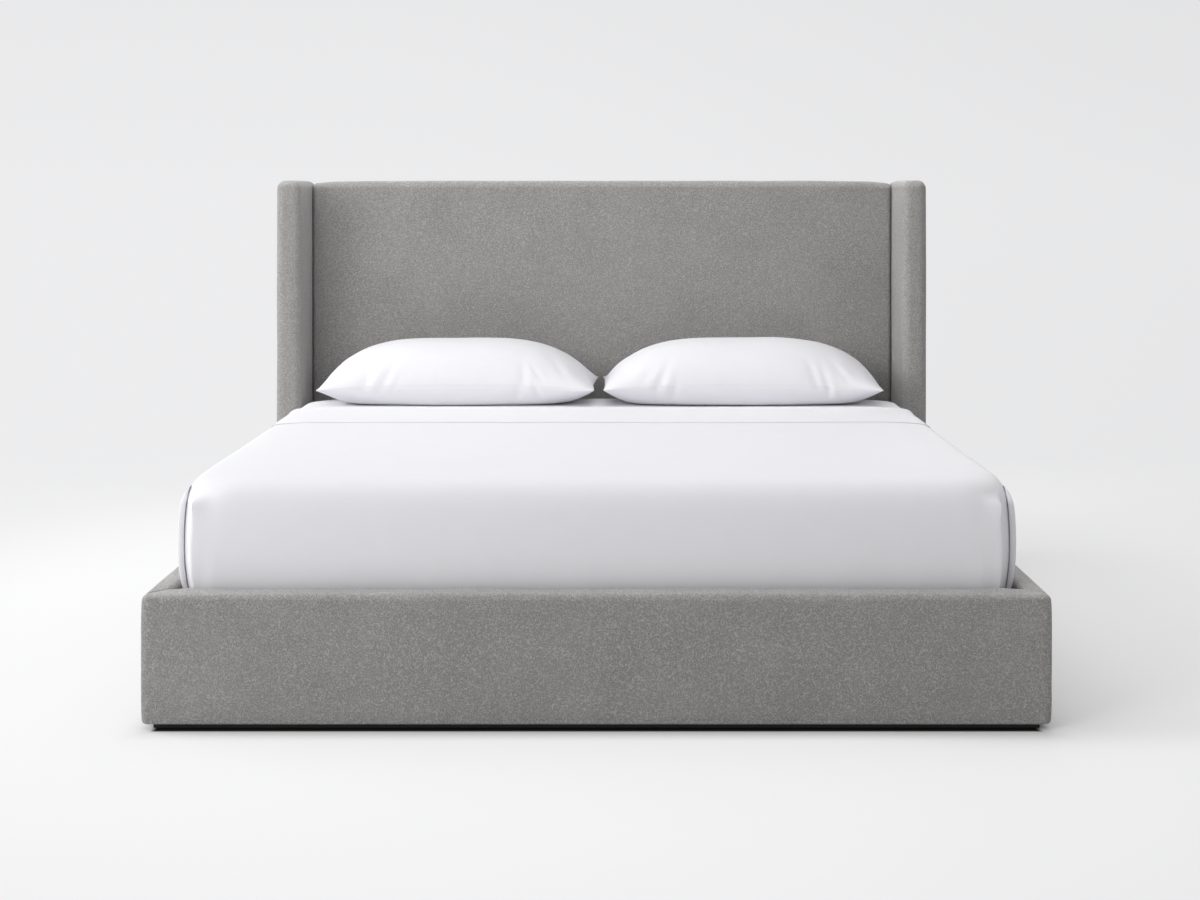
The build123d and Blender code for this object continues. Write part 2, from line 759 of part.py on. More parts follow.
def pillow_form(shrink):
    """The right pillow: a domed upper half and a flatter lower half."""
    upper = []
    for height, end, side, corner_x, corner_y in pillow_upper_shares:
        z = pillow_seam + height * (pillow_rise - shrink)
        upper.append(pillow_level(z, end, side, corner_x, corner_y, shrink))
    lower = []
    for height, end, side, corner_x, corner_y in pillow_lower_shares:
        z = pillow_seam - height * (pillow_sag - shrink)
        lower.append(pillow_level(z, end, side, corner_x, corner_y, shrink))
    return loft(upper, ruled=True) + loft(lower, ruled=True)


def make_pillows():
    """Two filled pillows in cases that are open at the outer end."""
    filling = pillow_form(case_thickness + pillow_fit)
    case = pillow_form(0) - pillow_form(case_thickness)
    mouth_end = pillow_centre + pillow_length / 2
    mouth_half = pillow_depth / 4
    case -= block(mouth_end - case_mouth, mouth_end, pillow_y - mouth_half, pillow_y + mouth_half,
                  pillow_seam - case_mouth_height / 2, pillow_seam + case_mouth_height / 2)
    for side, name in ((-1, "left"), (1, "right")):
        save(f"{name}_pillow", on_side(filling, side))
        save(f"{name}_pillowcase", on_side(case, side))


make_rails()
make_footboard()
make_wings()
make_headboard()
make_joints()
make_base()
make_legs()
make_runners()
make_bedding()
make_pillows()
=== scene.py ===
import math

import bmesh
import bpy
import numpy as np
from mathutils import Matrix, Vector, noise


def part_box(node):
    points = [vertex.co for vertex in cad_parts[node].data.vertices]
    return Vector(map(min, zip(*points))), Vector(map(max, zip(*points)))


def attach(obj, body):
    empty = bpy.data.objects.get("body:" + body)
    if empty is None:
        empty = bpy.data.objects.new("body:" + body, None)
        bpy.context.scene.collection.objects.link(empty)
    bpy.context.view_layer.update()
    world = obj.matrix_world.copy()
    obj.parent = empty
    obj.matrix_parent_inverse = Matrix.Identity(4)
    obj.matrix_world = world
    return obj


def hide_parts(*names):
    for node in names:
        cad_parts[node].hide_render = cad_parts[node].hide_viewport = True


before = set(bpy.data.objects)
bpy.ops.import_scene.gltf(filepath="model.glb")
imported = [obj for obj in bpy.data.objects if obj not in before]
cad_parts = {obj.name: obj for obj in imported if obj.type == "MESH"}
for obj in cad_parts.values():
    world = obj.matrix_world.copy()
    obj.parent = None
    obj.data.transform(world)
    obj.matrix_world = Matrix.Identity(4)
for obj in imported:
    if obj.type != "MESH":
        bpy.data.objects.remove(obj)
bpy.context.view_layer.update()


# Timber. The boards, posts, wing frames and beam are planed pine, the panel is
# plywood and the slats are birch. All of it is joined and screwed under the
# upholstery, so only the slats and ledgers show once the mattress is out.
def fill_sockets(tree, node, **inputs):
    """Give inputs of a node, by name or as slot_0 and so on, a value or a link."""
    for name, value in inputs.items():
        key = int(name[5:]) if name.startswith("slot_") else name.replace("_", " ")
        if isinstance(value, bpy.types.NodeSocket):
            tree.links.new(value, node.inputs[key])
        else:
            node.inputs[key].default_value = value


def add_node(tree, kind, settings=None, **inputs):
    """One shader node with its settings and inputs."""
    made = tree.nodes.new(f"ShaderNode{kind}")
    for name, value in (settings or {}).items():
        setattr(made, name, value)
    fill_sockets(tree, made, **inputs)
    return made


def calculate(tree, operation, *values, clamp=False):
    """The result of one sum on values or sockets."""
    slots = {f"slot_{place}": value for place, value in enumerate(values)}
    return add_node(tree, "Math", {"operation": operation, "use_clamp": clamp}, **slots).outputs[0]


def remap(tree, value, from_low, from_high, to_low, to_high, smooth=False):
    """A value carried from one range to another and held at its ends."""
    settings = {"interpolation_type": "SMOOTHSTEP" if smooth else "LINEAR"}
    return add_node(tree, "MapRange", settings, Value=value, From_Min=from_low,
                    From_Max=from_high, To_Min=to_low, To_Max=to_high).outputs[0]


def scaled(tree, colour, factor):
    """A colour or a vector times a factor."""
    times = add_node(tree, "VectorMath", {"operation": "SCALE"}, slot_0=colour, Scale=factor)
    return times.outputs[0]


def noise_value(tree, place, scale, **inputs):
    """The value of a soft noise at a place."""
    return add_node(tree, "TexNoise", Vector=place, Scale=scale, **inputs).outputs["Fac"]


def new_group(name, inputs, outputs):
    """A shader node group, with the sockets that feed it and the node that takes its results.
    An input is a vector if its value is None, a colour if it is a tuple, and otherwise a number."""
    group = bpy.data.node_groups.new(name, "ShaderNodeTree")
    for label, value in inputs.items():
        kind = "Vector" if value is None else "Color" if isinstance(value, tuple) else "Float"
        socket = group.interface.new_socket(label, in_out="INPUT", socket_type=f"NodeSocket{kind}")
        if value is not None:
            socket.default_value = value
    for label in outputs:
        kind = "Color" if label == "Colour" else "Float"
        group.interface.new_socket(label, in_out="OUTPUT", socket_type=f"NodeSocket{kind}")
    return group, group.nodes.new("NodeGroupInput").outputs, group.nodes.new("NodeGroupOutput")


def new_material(name, **constants):
    """A material with one Principled shader, its constants set on its own sockets."""
    material = bpy.data.materials.new(name)
    material.use_nodes = True
    shader = material.node_tree.nodes["Principled BSDF"]
    fill_sockets(material.node_tree, shader, **constants)
    return material, material.node_tree, shader


def finish_material(name, group, strength, depth, constants=None, stretch=None, **inputs):
    """A material on Object coordinates that takes its colour, gloss and relief from a node group."""
    material, tree, shader = new_material(name, **(constants or {}))
    coordinates = add_node(tree, "TexCoord").outputs
    place = coordinates["Object"]
    if stretch:
        place = add_node(tree, "Mapping", Vector=place, Scale=stretch).outputs[0]
    finish = add_node(tree, "Group", {"node_tree": group}, Vector=place, **inputs)
    if "Facing" in finish.inputs:
        fill_sockets(tree, finish, Facing=coordinates["Normal"])
    if "Roughness" in finish.outputs:
        fill_sockets(tree, shader, Roughness=finish.outputs["Roughness"])
    bump = add_node(tree, "Bump", Height=finish.outputs["Height"], Strength=strength, Distance=depth)
    fill_sockets(tree, shader, Base_Color=finish.outputs["Colour"], Normal=bump.outputs[0])
    return material


def paint_nodes(material, *names):
    """Give a CAD node that stays in view its finish."""
    for name in names:
        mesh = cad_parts[name].data
        mesh.materials.clear()
        mesh.materials.append(material)


def numbered(stem):
    """The names of three like pieces."""
    return [f"{stem}_{number}" for number in (1, 2, 3)]


sawn_wood, wood_in, wood_out = new_group(
    "Sawn wood",
    {"Vector": None, "Pale": (0.68, 0.50, 0.31, 1), "Dark": (0.42, 0.26, 0.13, 1), "Ring density": 3.0},
    ("Colour", "Roughness", "Height"))
grain = noise_value(sawn_wood, wood_in["Vector"], 1.0, Detail=3.0, Distortion=0.6)
rings = calculate(sawn_wood, "MULTIPLY", grain, wood_in["Ring density"])
bands = calculate(sawn_wood, "PINGPONG", rings, 0.5)
figure = calculate(sawn_wood, "MULTIPLY", bands, 1.4)
pores = noise_value(sawn_wood, wood_in["Vector"], 9.0, Detail=2.0)
stroke = calculate(sawn_wood, "MULTIPLY_ADD", pores, 0.5, -0.15)
streaks = calculate(sawn_wood, "ADD", figure, stroke, clamp=True)
wood_tone = add_node(sawn_wood, "Mix", {"data_type": "RGBA"}, slot_0=streaks,
                     slot_6=wood_in["Dark"], slot_7=wood_in["Pale"])
fill_sockets(sawn_wood, wood_out, Colour=wood_tone.outputs[2], Height=streaks,
             Roughness=remap(sawn_wood, streaks, 0.0, 1.0, 0.72, 0.52))


def wood_material(name, grain_axis, pale, dark, ring_density):
    """Wood with its grain running along one axis of the bed."""
    across_grain, along_grain = 26.0, 1.6
    stretch = [across_grain] * 3
    stretch[grain_axis] = along_grain
    return finish_material(name, sawn_wood, 0.35, 0.0004, stretch=stretch,
                           Pale=pale, Dark=dark, Ring_density=ring_density)


pine_pale = (0.66, 0.47, 0.28, 1)
pine_dark = (0.47, 0.28, 0.14, 1)
birch_pale = (0.74, 0.59, 0.40, 1)
birch_dark = (0.58, 0.42, 0.25, 1)
pine_across, pine_along, pine_upright = (
    wood_material(f"pine_{run}", axis, pine_pale, pine_dark, 5.0)
    for axis, run in enumerate(("across", "along", "upright")))
plywood = wood_material("plywood_sheet", 0, birch_pale, pine_pale, 2.5)
birch = wood_material("birch_slat", 0, birch_pale, birch_dark, 3.0)
paint_nodes(pine_across, "footboard_board", "headboard_cross_rails")
paint_nodes(pine_along, "left_rail_board", "right_rail_board", "left_ledger", "right_ledger", "centre_beam")
paint_nodes(pine_upright, "headboard_posts", "left_wing_core", "right_wing_core", *numbered("centre_leg"))
paint_nodes(plywood, "headboard_panel")
paint_nodes(birch, "slats")


# Steelwork. The corner brackets, joint plates and beam hangers are pressed
# steel with a black powder coat. The bolts, threaded inserts, screws and the
# levelling stems are bright zinc plate over steel.
worn_metal, metal_in, metal_out = new_group(
    "Metal finish", {"Vector": None, "Colour": (0.6, 0.6, 0.6, 1), "Grain": 900.0, "Roughness": 0.4},
    ("Colour", "Roughness", "Height"))
peel = noise_value(worn_metal, metal_in["Vector"], metal_in["Grain"], Detail=1.0)
cloud = noise_value(worn_metal, metal_in["Vector"], 38.0, Detail=3.0)
metal_tone = scaled(worn_metal, metal_in["Colour"], remap(worn_metal, cloud, 0.0, 1.0, 0.82, 1.16))
patchy = remap(worn_metal, cloud, 0.0, 1.0, -0.08, 0.10)
metal_rough = calculate(worn_metal, "ADD", metal_in["Roughness"], patchy, clamp=True)
fill_sockets(worn_metal, metal_out, Colour=metal_tone, Roughness=metal_rough, Height=peel)


def metal_material(name, colour, grain_scale, roughness, depth, **constants):
    """A metal or moulded finish with its own grain and gloss."""
    return finish_material(name, worn_metal, 0.3, depth, constants,
                           Colour=colour, Grain=grain_scale, Roughness=roughness)


powder_coat = metal_material("black_powder_coat", (0.028, 0.028, 0.03, 1), 1400.0, 0.46, 0.0003)
zinc_plate = metal_material("bright_zinc", (0.63, 0.64, 0.66, 1), 2600.0, 0.3, 0.00008, Metallic=1.0)
black_plastic = metal_material("black_plastic", (0.010, 0.010, 0.011, 1), 1800.0, 0.62, 0.0002)
paint_nodes(powder_coat, "foot_corner_brackets", "head_joint_plates", "beam_hangers")
paint_nodes(zinc_plate, "joint_bolts", "joint_inserts", "wing_bolts", "wing_inserts", "ledger_screws",
            *numbered("leveller_stem"))
paint_nodes(black_plastic, "left_runner", "right_runner", "headboard_glides", *numbered("leveller_pad"))


# Webbing and back cloth. Two cotton tapes are stapled under the slats to keep
# them spaced, and a black nonwoven cloth closes the back of the headboard.
def tape_material(name, colour, thread_scale, roughness):
    """Coarse woven tape or pressed cloth, with its threads crossing at right angles."""
    material, tree, shader = new_material(name, Roughness=roughness)
    place = add_node(tree, "TexCoord").outputs["Object"]
    threads = 0.0
    for direction in "XYZ":
        wave = add_node(tree, "TexWave", {"bands_direction": direction}, Vector=place,
                        Scale=thread_scale, Distortion=0.8, Detail=1.0)
        threads = calculate(tree, "ADD", threads, wave.outputs["Fac"])
    fluff = remap(tree, noise_value(tree, place, 55.0, Detail=4.0), 0.0, 1.0, 0.75, 1.25)
    bump = add_node(tree, "Bump", Height=threads, Strength=0.4, Distance=0.0003)
    fill_sockets(tree, shader, Base_Color=scaled(tree, colour, fluff), Normal=bump.outputs[0])
    return material


cotton_tape = tape_material("cotton_tape", (0.74, 0.72, 0.66), 300.0, 0.9)
dust_cloth = tape_material("dust_cloth", (0.035, 0.035, 0.037), 220.0, 0.95)
paint_nodes(cotton_tape, "slat_straps")


# Headboard. A padded panel stands between the wings: one piece of short-pile
# grey cloth is drawn over foam, pulled over the top edge and stapled behind,
# where the dust cloth covers the opening.
near = 1e-5


def in_metres(name):
    """The lowest and highest corners of a CAD node."""
    low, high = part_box(name)
    return Vector(low), Vector(high)


def new_block(name, low, high):
    """A box between two corners, with its origin at the bed's own origin."""
    bpy.ops.object.select_all(action="DESELECT")
    middle = (low + high) / 2
    bpy.ops.mesh.primitive_cube_add(size=1, location=middle)
    block = bpy.context.object
    block.name = block.data.name = name
    bpy.ops.object.mode_set(mode="EDIT")
    bpy.ops.mesh.select_all(action="SELECT")
    bpy.ops.transform.resize(value=high - low, center_override=middle)
    bpy.ops.object.mode_set(mode="OBJECT")
    bpy.ops.object.transform_apply(location=True, rotation=True, scale=True)
    return block


def pick(block, kind, wanted):
    """Open a block for editing, with only the edges or faces selected that a test picks out."""
    bpy.ops.object.mode_set(mode="EDIT")
    bpy.ops.mesh.select_mode(type=kind)
    bpy.ops.mesh.select_all(action="DESELECT")
    mesh = bmesh.from_edit_mesh(block.data)
    for part in mesh.edges if kind == "EDGE" else mesh.faces:
        if wanted(part):
            part.select = True
    bmesh.update_edit_mesh(block.data)


def round_edges(block, radius, segments, wanted):
    """Bevel the edges that a test on their two ends picks out."""
    pick(block, "EDGE", lambda edge: wanted(*(corner.co for corner in edge.verts)))
    bpy.ops.mesh.bevel(offset=radius, segments=segments, profile=0.5, affect="EDGES")
    bpy.ops.object.mode_set(mode="OBJECT")


def edge_at(first, second, axis, place):
    """True where both ends of an edge lie at a place on an axis."""
    return abs(first[axis] - place) < near and abs(second[axis] - place) < near


def between(first, last, share):
    """The value at a share of the way from one to another."""
    return first + (last - first) * share


def slice_block(block, axis, start, end, step, *extra):
    """Cut rows of faces across a block, about one step apart and at any extra places,
    so that its cloth can swell and pucker."""
    along = Vector((0, 0, 0))
    along[axis] = 1
    count = max(2, round((end - start) / step))
    bpy.ops.object.mode_set(mode="EDIT")
    for place in [between(start, end, index / count) for index in range(1, count)] + list(extra):
        bpy.ops.mesh.select_all(action="SELECT")
        bpy.ops.mesh.bisect(plane_co=along * place, plane_no=along)
    bpy.ops.object.mode_set(mode="OBJECT")


def shift_surface(piece, how_far):
    """Move each point of a piece along its own normal, by a distance found from its place."""
    corners = piece.data.vertices
    normals = [corner.normal.copy() for corner in corners]
    for corner, normal in zip(corners, normals):
        corner.co += normal * how_far(corner.co, normal)
    piece.data.update()


def noise_at(place, scale, shift=(0, 0, 0)):
    """Soft noise at a place, with its own scale along each axis."""
    return noise.noise(place * Vector(scale) + Vector(shift))


def bell(offset, width):
    """A hump that is 1 at no offset and falls away past its width."""
    return math.exp(-((offset / width) ** 2))


def held(share):
    """A share held between none and all."""
    return max(0.0, min(1.0, share))


def soften(block, low, high, swell, wobble, seed, still=()):
    """Swell the faces of a padded block and give its cloth a slight unevenness.
    Faces named in still, as an axis and a sign, lie against something and stay flat."""
    middle = (low + high) / 2
    half = (high - low) / 2

    def rise(place, normal):
        facing = max(range(3), key=lambda axis: abs(normal[axis]))
        if (facing, 1 if normal[facing] > 0 else -1) in still:
            return 0.0
        crown = 1.0
        for axis in range(3):
            if axis != facing:
                share = (place[axis] - middle[axis]) / half[axis]
                crown *= max(0.0, 1 - abs(share) ** 6)
        broad = noise_at(place, (5.0, 5.0, 5.0), (seed, 0, 0))
        fine = noise_at(place, (19.0, 19.0, 19.0), (0, seed, 0))
        return swell * crown + wobble * (broad + 0.4 * fine)

    shift_surface(block, rise)


def press(block, start, end, depth, width):
    """Press a soft furrow into a surface along a line, or raise a ridge if depth is negative."""
    run = end - start

    def dip(place, normal):
        share = held((place - start).dot(run) / run.length_squared)
        away = (place - (start + run * share)).length
        fade = math.sin(math.pi * (0.08 + 0.84 * share))
        return -depth * fade * bell(away, width)

    shift_surface(block, dip)


def select_only(piece):
    """Make one piece the only one selected, and the active one."""
    bpy.ops.object.select_all(action="DESELECT")
    piece.select_set(True)
    bpy.context.view_layer.objects.active = piece


def smooth_piece(piece, material, degrees=50):
    """Shade a soft piece smooth and give it its cloth."""
    select_only(piece)
    bpy.ops.object.shade_smooth_by_angle(angle=math.radians(degrees))
    piece.data.materials.clear()
    piece.data.materials.append(material)


def finish_padding(block, *stands_for):
    """Shade a padded piece, tie it to the frame and let it stand for its CAD nodes."""
    smooth_piece(block, grey_cloth, 42)
    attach(block, "bed_frame")
    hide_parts(*stands_for)


short_pile, pile_in, pile_out = new_group(
    "Short pile cloth",
    {"Vector": None, "Facing": None, "Colour": (0.3, 0.3, 0.3, 1), "Pile scale": 190.0, "Mottle": 0.2,
     "Nap": 0.12},
    ("Colour", "Roughness", "Height"))
pile_place = pile_in["Vector"]
drift = add_node(short_pile, "TexNoise", Vector=pile_place, Scale=70.0, Detail=1.0)
bent = scaled(short_pile, drift.outputs["Color"], 0.005)
warped = add_node(short_pile, "VectorMath", {"operation": "ADD"}, slot_0=pile_place, slot_1=bent)
tufts = noise_value(short_pile, warped.outputs[0], pile_in["Pile scale"], Detail=0.0, Distortion=0.4)
apart = calculate(short_pile, "ABSOLUTE", calculate(short_pile, "SUBTRACT", tufts, 0.5))
worms = remap(short_pile, apart, 0.0, 0.14, 1.0, -0.8)
worm_lift = calculate(short_pile, "MULTIPLY_ADD", worms, pile_in["Mottle"], 1.0)
fibres = noise_value(short_pile, pile_place, 1300.0, Detail=2.0)
fibre_lift = remap(short_pile, fibres, 0.25, 0.75, -0.10, 0.05)
naps = noise_value(short_pile, pile_place, 6.5, Detail=2.5, Roughness=0.55, Distortion=0.4)
nap_lift = calculate(short_pile, "MULTIPLY", calculate(short_pile, "SUBTRACT", naps, 0.5), pile_in["Nap"])
cloth_lift = calculate(short_pile, "ADD", calculate(short_pile, "ADD", worm_lift, fibre_lift), nap_lift)
# Painted light from above: faces of the cloth that look upward are made up to 40% lighter.
upward = add_node(short_pile, "SeparateXYZ", Vector=pile_in["Facing"]).outputs[2]
painted_top_light = calculate(short_pile, "MULTIPLY", cloth_lift, remap(short_pile, upward, 0.2, 1.0, 1.0, 1.40))
fill_sockets(short_pile, pile_out, Colour=scaled(short_pile, pile_in["Colour"], painted_top_light),
             Roughness=remap(short_pile, worms, -1.0, 1.0, 0.96, 0.82),
             Height=calculate(short_pile, "MULTIPLY_ADD", fibres, 0.35, worms))
grey_cloth = finish_material(
    "grey_short_pile_cloth", short_pile, 0.7, 0.0006,
    {"Sheen_Weight": 0.30, "Sheen_Roughness": 0.4, "Specular_IOR_Level": 0.18},
    Colour=(0.360, 0.351, 0.343, 1), Pile_scale=240.0, Mottle=0.28, Nap=0.20)

panel_low, panel_high = in_metres("headboard_cover")
back_low, back_high = in_metres("headboard_back_cloth")
end_clearance = Vector((0.002, 0, 0))
headboard = new_block("headboard", panel_low + end_clearance, panel_high - end_clearance)


def panel_end_edge(first, second):
    """True for the front and top edges of the panel's two ends."""
    on_end = abs(first.x - second.x) < near and abs(abs(first.x) - panel_high.x + end_clearance.x) < near
    return on_end and not (edge_at(first, second, 1, panel_high.y) or edge_at(first, second, 2, panel_low.z))


def in_opening(face):
    """True for the faces of the panel's back that the dust cloth covers."""
    middle = face.calc_center_median()
    return (face.normal.y > 0.9 and back_low.x < middle.x < back_high.x
            and back_low.z < middle.z < back_high.z)


round_edges(headboard, 0.024, 7,
            lambda a, b: edge_at(a, b, 2, panel_high.z) and edge_at(a, b, 1, panel_low.y))
round_edges(headboard, 0.012, 5, panel_end_edge)
slice_block(headboard, 0, panel_low.x, panel_high.x, 0.03, back_low.x, back_high.x)
slice_block(headboard, 2, panel_low.z, panel_high.z, 0.03, back_low.z, back_high.z)
slice_block(headboard, 1, panel_low.y, panel_high.y, 0.024)
soften(headboard, panel_low, panel_high, 0.003, 0.0010, 3.0, still={(1, 1), (0, 1), (0, -1), (2, -1)})
opening_depth = 0.0017
pick(headboard, "FACE", in_opening)
bpy.ops.mesh.extrude_region_move(TRANSFORM_OT_translate={"value": (0, -opening_depth, 0)})
bpy.ops.object.mode_set(mode="OBJECT")
notch_reach, notch_height, notch_depth = 0.10, 0.05, 0.007
for corner in headboard.data.vertices:
    to_end = (panel_high.x - abs(corner.co.x)) / notch_reach
    up_notch = (corner.co.z - panel_high.z + notch_height) / notch_height
    if up_notch > 0 and to_end < 1:
        corner.co.z -= notch_depth * (1 - to_end) ** 2 * up_notch
finish_padding(headboard, "headboard_cover", "headboard_padding")
paint_nodes(dust_cloth, "headboard_back_cloth")


# Wings. Each is a ladder frame in foam under one piece of the same cloth, which
# turns round the front edge and is sewn down the inner side. Its top is
# rounded all round, and behind it lies flat against the headboard's end.
def make_wing(name, side):
    """One wing, rounded down its front and round its top."""
    low, high = in_metres(f"{name}_wing_cover")
    wing = new_block(f"{name}_wing", low, high)
    round_edges(wing, 0.027, 8, lambda a, b: abs(a.z - b.z) > 0.5 and edge_at(a, b, 1, low.y))
    round_edges(wing, 0.025, 7, lambda a, b: edge_at(a, b, 2, high.z))
    round_edges(wing, 0.007, 3, lambda a, b: edge_at(a, b, 2, low.z) and not edge_at(a, b, 1, high.y))
    seam_y = low.y + 0.042
    slice_block(wing, 0, low.x, high.x, 0.012)
    slice_block(wing, 2, low.z, high.z, 0.03)
    slice_block(wing, 1, low.y, high.y, 0.026, seam_y - 0.004, seam_y, seam_y + 0.004)
    soften(wing, low, high, 0.002, 0.0009, 11.0 + side, still={(1, 1), (2, -1)})
    inner_x, keep = (low.x, max) if side > 0 else (high.x, min)
    for corner in wing.data.vertices:
        if corner.co.y > panel_low.y - 0.002 and abs(corner.co.x - inner_x) < 0.02:
            corner.co.x = keep(corner.co.x, inner_x)
    seam_foot, seam_head = Vector((inner_x, seam_y, low.z - 0.6)), Vector((inner_x, seam_y, high.z + 0.4))
    press(wing, seam_foot, seam_head, 0.0016, 0.0035)
    finish_padding(wing, f"{name}_wing_cover", f"{name}_wing_padding")


make_wing("left", -1)
make_wing("right", 1)


# Side rails and footboard. The rails are boards in thin foam and the footboard
# has a deeper pad in front. Their covers meet at the foot corners on a slanting
# seam that runs from the outer corner to the inner one.
rail_low, rail_high = in_metres("right_rail_cover")
foot_low, foot_high = in_metres("footboard_cover")
rail_inner = panel_high.x + 0.0003
rail_outer = foot_high.x
rail_end = panel_low.y - 0.224
corner_wrap = 0.020
seam_gap = 0.00015


def mitre_cut(block, side, keep_front):
    """Cut a block along the slanting seam of one foot corner and ease the cut edge."""
    outer = Vector((side * rail_outer, foot_low.y + corner_wrap, 0))
    inner = Vector((side * rail_inner, foot_high.y, 0))
    run = (inner - outer).normalized()
    back = Vector((side * run.y, abs(run.x), 0)).normalized()
    shift = -seam_gap if keep_front else seam_gap
    bpy.ops.object.mode_set(mode="EDIT")
    bpy.ops.mesh.select_mode(type="EDGE")
    bpy.ops.mesh.select_all(action="SELECT")
    bpy.ops.mesh.bisect(plane_co=outer + back * shift, plane_no=back, use_fill=True,
                        clear_outer=keep_front, clear_inner=not keep_front)
    bpy.ops.mesh.bevel(offset=0.0035, segments=3, profile=0.5, affect="EDGES")
    bpy.ops.object.mode_set(mode="OBJECT")


def make_rail(name, side):
    """One side rail, from the slanting seam to the wing."""
    low = Vector((rail_inner, foot_low.y, rail_low.z))
    high = Vector((rail_outer, rail_end, rail_high.z))
    if side < 0:
        low.x, high.x = -high.x, -low.x
    rail = new_block(f"{name}_rail", low, high)
    for radius, segments, height in ((0.013, 5, high.z), (0.007, 3, low.z)):
        round_edges(rail, radius, segments, lambda a, b: edge_at(a, b, 2, height) and abs(a.y - b.y) > 1.0)
    mitre_cut(rail, side, False)
    slice_block(rail, 1, foot_high.y + 0.01, high.y, 0.03)
    slice_block(rail, 2, low.z, high.z, 0.028)
    slice_block(rail, 0, low.x, high.x, 0.017)
    soften(rail, low, high, 0.0018, 0.0010, 23.0 + side, still={(2, -1), (1, -1), (1, 1)})
    finish_padding(rail, f"{name}_rail_cover", f"{name}_rail_padding")


make_rail("left", -1)
make_rail("right", 1)

footboard = new_block("footboard", foot_low, foot_high)
round_edges(footboard, 0.016, 6, lambda a, b: abs(a.z - b.z) > 0.1 and edge_at(a, b, 1, foot_low.y))
round_edges(footboard, 0.013, 6, lambda a, b: edge_at(a, b, 2, foot_high.z))
round_edges(footboard, 0.007, 3, lambda a, b: edge_at(a, b, 2, foot_low.z))
for side in (-1, 1):
    mitre_cut(footboard, side, True)
stitch_z = 0.0215
slice_block(footboard, 0, foot_low.x, foot_high.x, 0.024)
slice_block(footboard, 2, foot_low.z, foot_high.z, 0.024, stitch_z - 0.002, stitch_z, stitch_z + 0.002)
slice_block(footboard, 1, foot_low.y, foot_high.y, 0.012)
soften(footboard, foot_low, foot_high, 0.0035, 0.0012, 41.0, still={(2, -1), (1, 1)})
press(footboard, Vector((-3, foot_low.y, stitch_z)), Vector((3, foot_low.y, stitch_z)), 0.0012, 0.0018)
lump_x, lump_length = 0.955, 0.07
for side in (-1, 1):
    lump = Vector((side * lump_x, foot_high.y - 0.024, foot_high.z))
    press(footboard, lump, lump - Vector((side * lump_length, 0, 0)), -0.0045, 0.018)
finish_padding(footboard, "footboard_cover", "footboard_padding")

# A black plastic strip under the footboard, widened out nearly to its ends: partly the real runner, partly
# painted shade that stands for the shadow in the gap under the footboard.
strip_half = 0.9975
runner_low, runner_high = in_metres("foot_runner")
runner_low.x, runner_high.x = -strip_half, strip_half
foot_strip_and_shade = new_block("foot_strip_and_shade", runner_low, runner_high)
round_edges(foot_strip_and_shade, 0.0015, 2, lambda a, b: edge_at(a, b, 2, runner_low.z))
foot_strip_and_shade.data.materials.append(black_plastic)
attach(foot_strip_and_shade, "bed_frame")
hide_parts("foot_runner")


# Mattress and sheets. The mattress is a deep block with soft edges in knitted
# ticking. A fitted sheet is stretched over it. The top sheet is tucked in at
# the foot and sides and turned back below the pillows.
mattress_low, mattress_high = in_metres("mattress")
mattress_half = (mattress_high.x - mattress_low.x) / 2
mattress_rise = mattress_high.z - mattress_low.z
roundness = 0.100
edge_shares = (
    # share of the height, then in shares of the roundness how far the side, the
    # foot and the head stand in, and the radius of the corners seen from above
    (0.000, 0.44, 0.44, 0.44, 0.60),
    (0.040, 0.24, 0.24, 0.24, 0.80),
    (0.149, 0.10, 0.10, 0.10, 0.95),
    (0.331, 0.015, 0.015, 0.015, 1.00),
    (0.497, 0.00, 0.00, 0.00, 1.00),
    (0.679, 0.008, 0.02, 0.02, 1.03),
    (0.821, 0.04, 0.09, 0.12, 1.10),
    (0.914, 0.12, 0.26, 0.42, 1.22),
    (0.964, 0.22, 0.56, 1.20, 1.36),
    (0.985, 0.40, 1.18, 1.90, 1.50),
    (1.000, 1.20, 3.00, 2.80, 1.60),
)
fitted_grow = 0.0018
flat_grow = 0.0036
turned_grow = 0.0054
under_reach = 0.180
across_steps, along_steps, turn_steps = 60, 64, 7
fold_y = panel_low.y - 0.540
hem_y = fold_y - 0.361
hem_band = 0.022
tuck_z = mattress_low.z + 0.030


def smoothed(rows):
    """Round the corners of a row-by-row profile and keep its two ends."""
    table = [np.array(row, float) for row in rows]
    for _ in range(2):
        cut = [table[0]]
        for first, second in zip(table, table[1:]):
            cut += [between(first, second, 0.25), between(first, second, 0.75)]
        table = cut + [table[-1]]
    return table


def outline_sides(half, foot, head, radius):
    """Four sides of a rounded outline, each from the middle of one corner to the next."""
    left, right = -half + radius, half - radius
    low, high = foot + radius, head - radius

    def arc(x, y, start, end):
        angles = np.radians(np.linspace(start, end, turn_steps + 1))
        return [(x + radius * math.cos(angle), y + radius * math.sin(angle)) for angle in angles]

    def joined(first, second, count):
        start, end = np.array(first[-1]), np.array(second[0])
        return np.array(first + [between(start, end, k / count) for k in range(1, count)] + second)

    return (joined(arc(left, low, 225, 270), arc(right, low, 270, 315), across_steps),
            joined(arc(right, low, 315, 360), arc(right, high, 0, 45), along_steps),
            joined(arc(left, high, 135, 90), arc(right, high, 90, 45), across_steps),
            joined(arc(left, low, 225, 180), arc(left, high, 180, 135), along_steps))


def new_piece(name, points, faces):
    """A piece from its points and faces."""
    mesh = bpy.data.meshes.new(name)
    mesh.from_pydata(points, [], faces)
    mesh.update()
    piece = bpy.data.objects.new(name, mesh)
    bpy.context.scene.collection.objects.link(piece)
    return piece


def settled(place, normal):
    """The slight rise and fall of filling under cloth, with ripples low on its sides."""
    broad = noise_at(place, (2.1, 2.1, 3.0), (0, 0, 7.0))
    fine = noise_at(place, (7.0, 7.0, 7.0), (5.0, 0, 0))
    ripple = noise_at(place, (16.0, 16.0, 1.5), (0, 0, 20.0))
    low_down = held((0.47 - place.z) / 0.15)
    return 0.0016 * broad + 0.0006 * fine + 0.0016 * ripple * (1 - abs(normal.z)) * low_down


